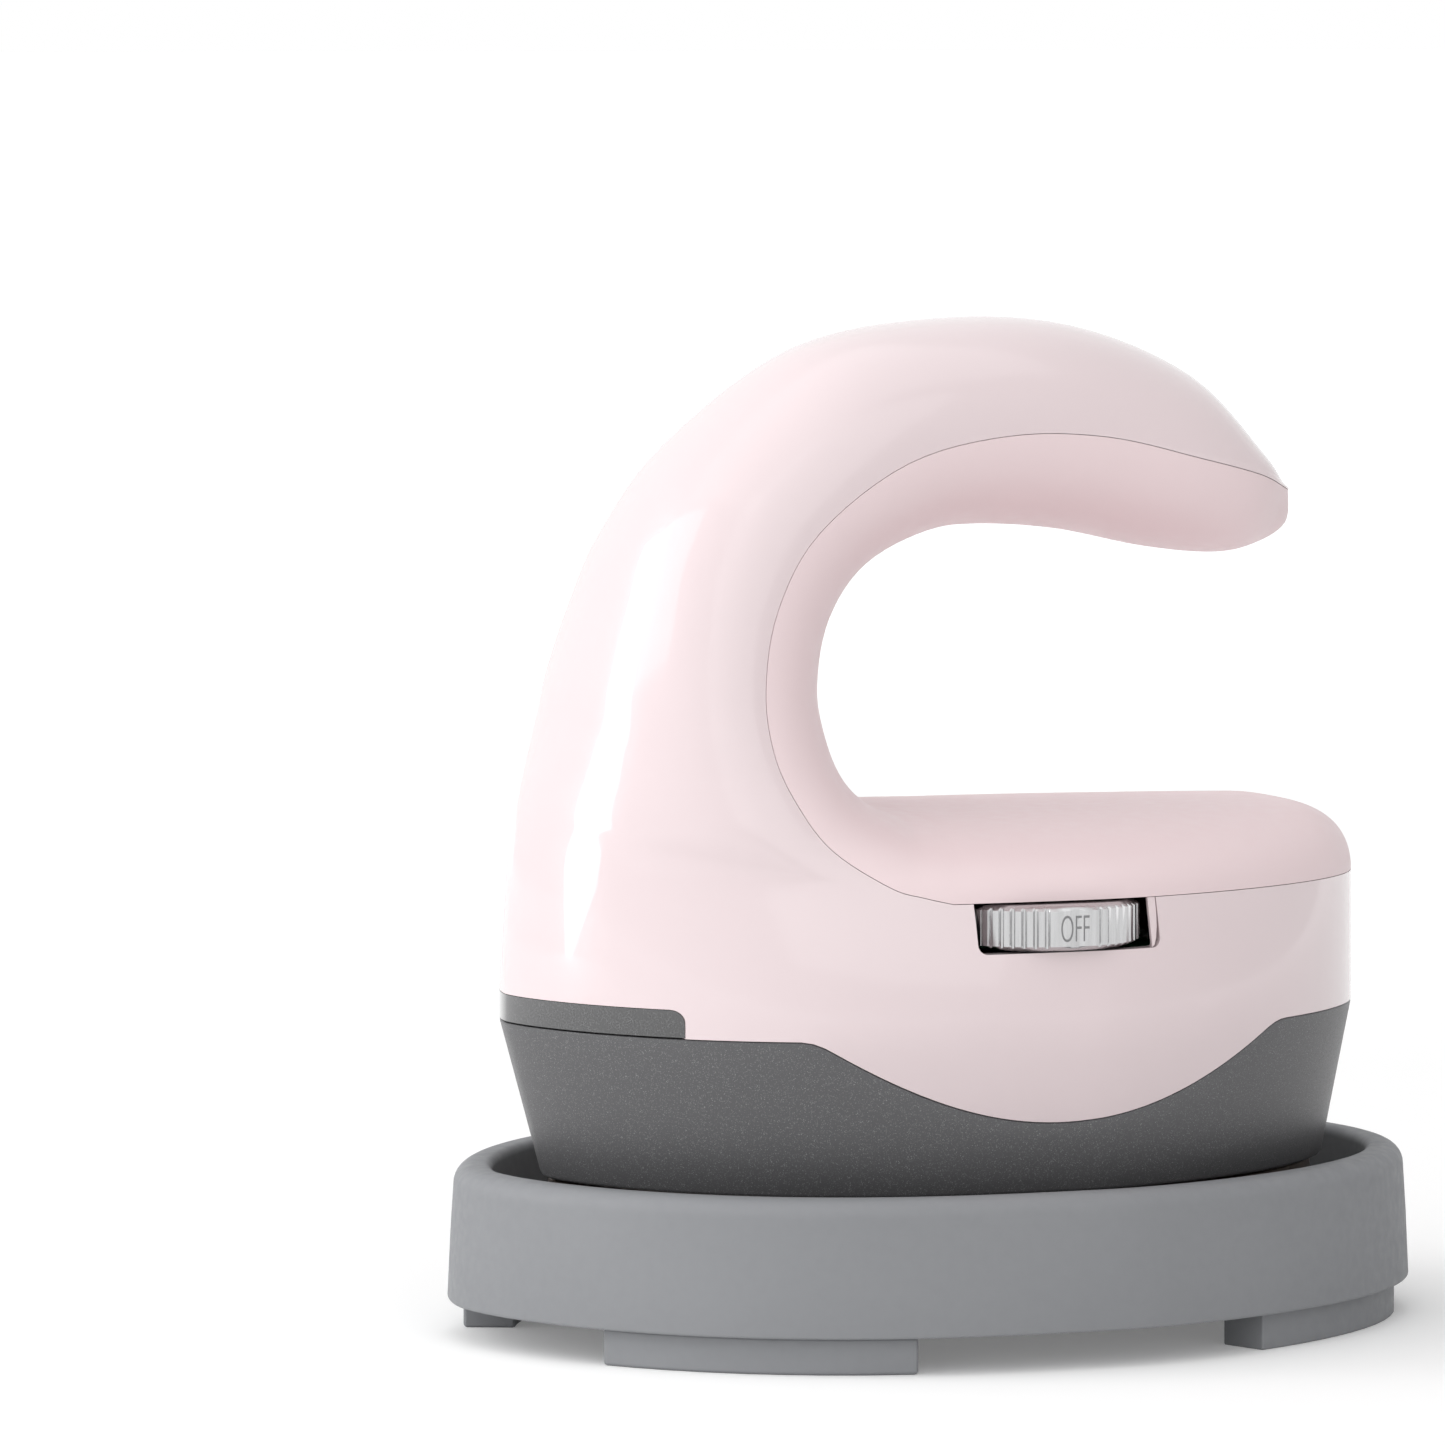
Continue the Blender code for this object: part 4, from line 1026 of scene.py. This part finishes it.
def shellBand(inset):  # full rings from the lobed edge to the seam
    rows = []
    for level in range(handleForm["bandRows"] + 1):
        row = []
        for turn in ringTurns():
            low = lobeLine(planPoint(turn).x)
            height = low + (seamHeight - seamGap / 2 - low) * level / handleForm["bandRows"]
            row.append(sidePoint(turn, height, inset))
        rows.append(row)
    return rows


def shellArch(inset, topRow):  # arches from the seam up to the handle's end
    form = handleForm
    turns = ringTurns()
    base = [sidePoint(turn, seamHeight) for turn in turns]
    leaving = base[leavingColumn]
    nose = base[columns // 2]
    reach = range(leavingColumn, columns - leavingColumn + 1)
    rows = [[topRow[index] for index in reach]]
    stations = handleStations()
    for number, station in enumerate(stations[1:], start=1):
        seam, ridge, inner, half = sectionPlaces(station, -seamGap / 2)
        blend = ease(number / (len(stations) - 1) / handleForm["ellipseShare"])
        if inset:
            ridge = shorten(seam, ridge, inset)
            half = max(half - inset, half * form["leastLeft"])
        if number == len(stations) - 1:
            if inset:
                seam = sectionPlaces(stations[-2], -seamGap / 2)[0]
            ridge = seam
        row = []
        for index in reach:
            forward = (leaving.x - base[index].x) / (leaving.x - nose.x)
            sideways = base[index].y / leaving.y
            turn = math.pi * (index - leavingColumn) / (columns - 2 * leavingColumn)
            forward += (math.sin(turn) - forward) * blend
            sideways += (math.cos(turn) - sideways) * blend
            flat = seam + (ridge - seam) * forward
            point = Vector((flat.x, half * sideways, flat.y))
            kept = carried(flat.y)
            if kept > 0 and 0 < index - leavingColumn < columns - 2 * leavingColumn:
                point = point.lerp(sideBeside(point, inset), kept)
            row.append(point)
        rows.append(row)
    return rows


wheelForm = {
    "radius": 13.5 * mm,
    "thickness": 5.8 * mm,
    "proud": 3.0 * mm,
    "x": 2.597 * mm,
    "chamferHeight": 0.6 * mm,
    "chamferReach": 1.05 * mm,
    "teeth": 56,
    "grooveDepth": 0.42 * mm,
    "grooveShare": 0.32,
    "grooveStart": 1.4,  # both as shares of grooveShare
    "grooveSlope": 0.8,
    "perTooth": 12,
    "bore": 2.9 * mm,
    "slotLength": 25.8 * mm,
    "slotHeight": 6.4 * mm,
    "slotShift": 0.55 * mm,
    "slotCorner": 1.2 * mm,
    "cheekLength": 1.15 * mm,
    "cheekStep": 0.13 * mm,
    "cheekDepth": 0.7 * mm,
    "cheekSteps": 5,
    "cheekFineness": 4,
    "textSize": 5.0 * mm,
    "textThinner": 0.07 * mm,
    "textDepth": 0.02 * mm,
    "markLift": 0.1,  # share of the gap
    "markHeight": 3.4 * mm,
    "marks": {  # how far the wheel turns to show it, width and half of its flat
        "OFF": (0.0, 3.9 * mm, 2.65 * mm),
        "1": (60.0, 1.3 * mm, 1.5 * mm),
        "2": (90.0, 1.6 * mm, 1.5 * mm),
        "3": (120.0, 1.6 * mm, 1.5 * mm),
    },
}
wheelAxisY = sidePoint(math.tau * 0.75, seamHeight - wheelForm["slotHeight"] / 2).y
wheelAxisY += wheelForm["radius"] - wheelForm["proud"]
slotEnds = [wheelForm["x"] + wheelForm["slotShift"] + wheelForm["slotLength"] / 2 * side for side in (-1, 1)]
inletForm = {
    "radius": 4.0 * mm,
    "wide": 1.35,
    "height": 50.0 * mm,
    "wall": 0.9 * mm,
    "length": 6.0 * mm,
    "hole": 12.0 * mm,
    "lip": 0.3 * mm,
    "lipSteps": 3,
    "columns": 48,
}


def inletRing(inset, x):
    form = inletForm
    ring = []
    for turn in ringTurns(form["columns"]):
        y = (form["radius"] * form["wide"] - inset) * math.cos(turn)
        ring.append(Vector((x, y, form["height"] + (form["radius"] - inset) * math.sin(turn))))
    return ring


def makeShell():
    outerBand = shellBand(0.0)
    innerBand = shellBand(wall)
    outerArch = shellArch(0.0, outerBand[-1])
    innerArch = shellArch(wall, innerBand[-1])
    work = bmesh.new()
    tag = work.verts.layers.int.new("place")
    addSheet(work, [wrapped(row) for row in outerBand], tag)
    innerPoints = [point for row in innerBand for point in wrapped(row)]
    addSheet(work, outerArch, tag, len(innerPoints))
    innerPoints += [point for row in innerArch for point in row]
    weld(work)
    thicken(work, innerPoints, tag)
    shell = addPiece("shell", work, "pinkGloss", "press", "pink_gloss", "outer_shell")
    form = wheelForm
    slotLow = (slotEnds[0], -bodyWidth, seamHeight - form["slotHeight"])
    slotHigh = (slotEnds[1], -bodyWidth / 4, seamHeight + form["slotHeight"])
    notchLow = (bodyNose - overrun, -bodyWidth, parting - windowForm["rise"])
    notchHigh = (bodyNose + windowForm["reach"], bodyWidth, parting + windowForm["rise"])
    inlet = ringWork([inletRing(0.0, bodyHeel - inletForm["hole"]), inletRing(0.0, bodyHeel + overrun)])
    cutWith(shell, [
        boxCutter("dialSlot", slotLow, slotHigh, form["slotCorner"]),
        boxCutter("windowNotch", notchLow, notchHigh, windowForm["corner"]),
        addCutter("inletHole", inlet),
    ])
    softenEdges(shell, handleForm["edge"])


def coverRow(seam, inner, half, roundness):
    row = []
    form = handleForm
    flatness = form["seamFlatness"] + (form["tipFlatness"] - form["seamFlatness"]) * roundness
    count = form["acrossCover"]
    for index in range(count + 1):
        turn = math.pi * index / count
        across = -math.cos(turn)
        sideways = 0.0 if index == count // 2 else math.copysign(abs(across) ** (2 * flatness), across)
        flat = seam
        if 0 < index < count:
            flat = seam + (inner - seam) * math.sin(turn) ** form["acrossPower"]
        row.append(Vector((flat.x, half * sideways, flat.y)))
    return row


def coverRows(inset):
    form = handleForm
    rows = []
    deckStart = bodyHeel - form["deckRound"]
    widest = sidePoint(math.pi / 2, seamHeight)
    leaving = sidePoint(ringTurns()[leavingColumn], seamHeight)
    for turn in ringTurns()[:leavingColumn + 1]:
        edge = sidePoint(turn, seamHeight)
        kept = sidePoint(turn, seamHeight, inset)
        back = max(0.0, (edge.x - deckStart) / (bodyHeel - deckStart))
        front = max(0.0, (widest.x - edge.x) / (widest.x - leaving.x))
        rise = form["deckRise"] * math.sqrt(max(0.0, 1 - back * back)) + form["throatRise"] * front
        if inset:
            rise = max(rise - inset, rise * form["leastLeft"])
        low = Vector((kept.x, seamHeight + seamGap / 2))
        rows.append(coverRow(low, low + Vector((form["throatLean"] * front ** 2, rise)), abs(kept.y), 0.0))
    stations = handleStations()
    for number, station in enumerate(stations[1:], start=1):
        seam, ridge, inner, half = sectionPlaces(station, seamGap / 2)
        if inset:
            inner = shorten(seam, inner, inset)
            half = max(half - inset, half * form["leastLeft"])
        if inset and number == len(stations) - 1:
            seam = (Vector(stations[-2][0:2]) + Vector(stations[-1][0:2])) / 2
            inner = (Vector(stations[-2][4:6]) + Vector(stations[-1][4:6])) / 2
            inner = shorten(seam, inner, inset)
            half = 0.0
        roundness = ease(number / (len(stations) - 1) / form["ellipseShare"])
        rows.append(coverRow(seam, inner, half, roundness))
    return rows


def makeCover():
    work = bmesh.new()
    tag = work.verts.layers.int.new("place")
    addSheet(work, coverRows(0.0), tag)
    inner = [point for row in coverRows(wall) for point in row]
    weld(work)
    thicken(work, inner, tag)
    cover = addPiece("cover", work, "pinkSatin", "press", "pink_satin", "handle_cover")
    softenEdges(cover, handleForm["edge"])


makeShell()
makeCover()
print("shell and cover made")


# Cord inlet ring

def makeInlet():
    form = inletForm
    heel = bodyHeel - gap
    lip, inner = form["lip"], gap + form["wall"]
    rings = [inletRing(gap, heel - form["length"])]
    rings += roundRings(inletRing, gap, heel, lip, -lip, quarter(form["lipSteps"]))
    rings += roundRings(inletRing, inner, heel, -lip, -lip, quarter(form["lipSteps"])[::-1])
    rings.append(inletRing(inner, heel - form["length"]))
    rings.append(rings[0])
    addPiece("inletRing", ringWork(rings, caps=False), "black", "press", "black", "cord_gland")


makeInlet()


# Thumb wheel with its marks, and the cheek that closes the slot's far end

def makeWheel():
    form = wheelForm
    middle = seamHeight - form["slotHeight"] / 2
    low = middle - form["thickness"] / 2
    high = middle + form["thickness"] / 2
    perTooth = form["perTooth"]
    count = form["teeth"] * perTooth
    steep = form["grooveShare"] * form["grooveSlope"]
    flats = [
        (-math.radians(degrees), math.asin(half / form["radius"]))
        for degrees, _, half in form["marks"].values()
    ]
    deep = form["grooveDepth"]

    def wheelRing(inset, height, grooved):
        ring = []
        for index in range(count):
            turn = math.tau * (index if index <= count / 2 else index - count) / count
            fromLand = abs((index / perTooth) % 1.0 - 0.5) * 2
            slope = (form["grooveShare"] * form["grooveStart"] - fromLand) / steep
            radius = form["radius"] - inset - deep * ease(slope) * grooved
            for flatTurn, reach in flats:
                if abs(turn - flatTurn) < reach:
                    flat = form["radius"] * math.cos(reach) / math.cos(turn - flatTurn)
                    radius = min(form["radius"] - inset, flat)
            place = turn - math.pi / 2
            ring.append(Vector((
                form["x"] + radius * math.cos(place), wheelAxisY + radius * math.sin(place), height)))
        return ring

    hub = form["radius"] - form["bore"]
    slant = form["chamferReach"]
    rise = form["chamferHeight"]
    down = rise * (1 - deep / slant)
    rings = [
        wheelRing(hub, low, 0.0), wheelRing(slant, low, 0.0), wheelRing(deep, low + down, 0.0),
        wheelRing(0.0, low + rise, 1.0), wheelRing(0.0, high - rise, 1.0), wheelRing(deep, high - down, 0.0),
        wheelRing(slant, high, 0.0), wheelRing(hub, high, 0.0), wheelRing(hub, low, 0.0),
    ]
    addPiece("thumbWheel", ringWork(rings, caps=False), "silver", "dial", "silver", "dial")
    for words, (degrees, width, half) in form["marks"].items():
        addMark(words, middle, degrees, width, half)


def makeCheek():  # a shallow step at the slot's far end
    form = wheelForm
    work = bmesh.new()
    bmesh.ops.create_cube(work, size=1.0)
    corner = [edge for edge in work.edges if all(v.co.x > 0 and v.co.z < 0 for v in edge.verts)]
    bevelEdges(work, corner, form["slotCorner"] / form["cheekLength"], form["cheekSteps"])
    far = slotEnds[1] - seamGap
    turns = ringTurns(columns * form["cheekFineness"])
    nearby = turns[len(turns) * 5 // 8:len(turns) * 7 // 8]  # the middle of the -Y side
    for vert in work.verts:
        x = far + (vert.co.x - 0.5) * form["cheekLength"]
        height = seamHeight - seamGap / 2 + (vert.co.z - 0.5) * (form["slotHeight"] - seamGap)
        turn = min(nearby, key=lambda turn: abs(sidePoint(turn, height).x - x))
        depth = form["cheekStep"] if vert.co.y < 0 else form["cheekDepth"]
        vert.co = (x, sidePoint(turn, height).y + depth, height)
    addPiece("slotCheek", work, "pinkGloss", "press", "pink_gloss")


def addMark(words, middle, degrees, width, half):
    form = wheelForm
    text = bpy.data.curves.new("mark" + words, "FONT")
    text.body = words
    text.size = form["textSize"]
    text.align_x = "CENTER"
    text.align_y = "CENTER"
    text.offset = -form["textThinner"]
    text.extrude = form["textDepth"]
    guide = placed("guide", text)
    bpy.context.view_layer.update()
    mesh = bpy.data.meshes.new_from_object(guide.evaluated_get(bpy.context.evaluated_depsgraph_get()))
    bpy.data.objects.remove(guide, do_unlink=True)
    work = bmesh.new()
    work.from_mesh(mesh)
    bpy.data.meshes.remove(mesh)
    across = [vert.co.x for vert in work.verts]
    upward = [vert.co.y for vert in work.verts]
    tall = form["markHeight"] / (max(upward) - min(upward))
    wide = width / (max(across) - min(across))
    centre = (max(upward) + min(upward)) / 2
    face = math.sqrt(form["radius"] ** 2 - half ** 2) + gap * form["markLift"]
    swing = Matrix.Rotation(-math.radians(degrees), 4, "Z")
    for vert in work.verts:
        place = swing @ Vector((vert.co.x * wide, -(face + vert.co.z), 0.0))
        vert.co = (form["x"] + place.x, wheelAxisY + place.y, middle + (vert.co.y - centre) * tall)
    addPiece("wheelMark." + words, work, "mark", "dial", "black")


makeWheel()
makeCheek()
print("thumb wheel made")


# Finishes of the nodes that keep their own shape

nodeFinishes = {
    "steel": (
        "heating_element", "temperature_sensor", "sensor_clip", "fuse_saddle", "heat_shield", "dial_shaft",
        *(f"{name}_screw_{number}" for name in ("plate", "board") for number in (1, 2, 3, 4)),
    ),
    "mica": ("heater_terminal_1", "heater_terminal_2", "thermal_fuse", "insulation_sheet", "transformer"),
    "frameWhite": ("chassis", "lamp_bracket"),
    "boardGreen": ("control_board", "terminal_block", "lamp_board"),
    "black": ("relay", "chip", "capacitor", "rotary_switch"),
    "clear": ("indicator_lamp", "light_guide"),
    "leadWhite": ("heater_lead_1", "heater_lead_2"),
}
for finish, nodes in nodeFinishes.items():
    for node in nodes:
        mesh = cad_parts[node].data
        mesh.materials.clear()
        mesh.materials.append(finishes[finish])
print("node finishes set")
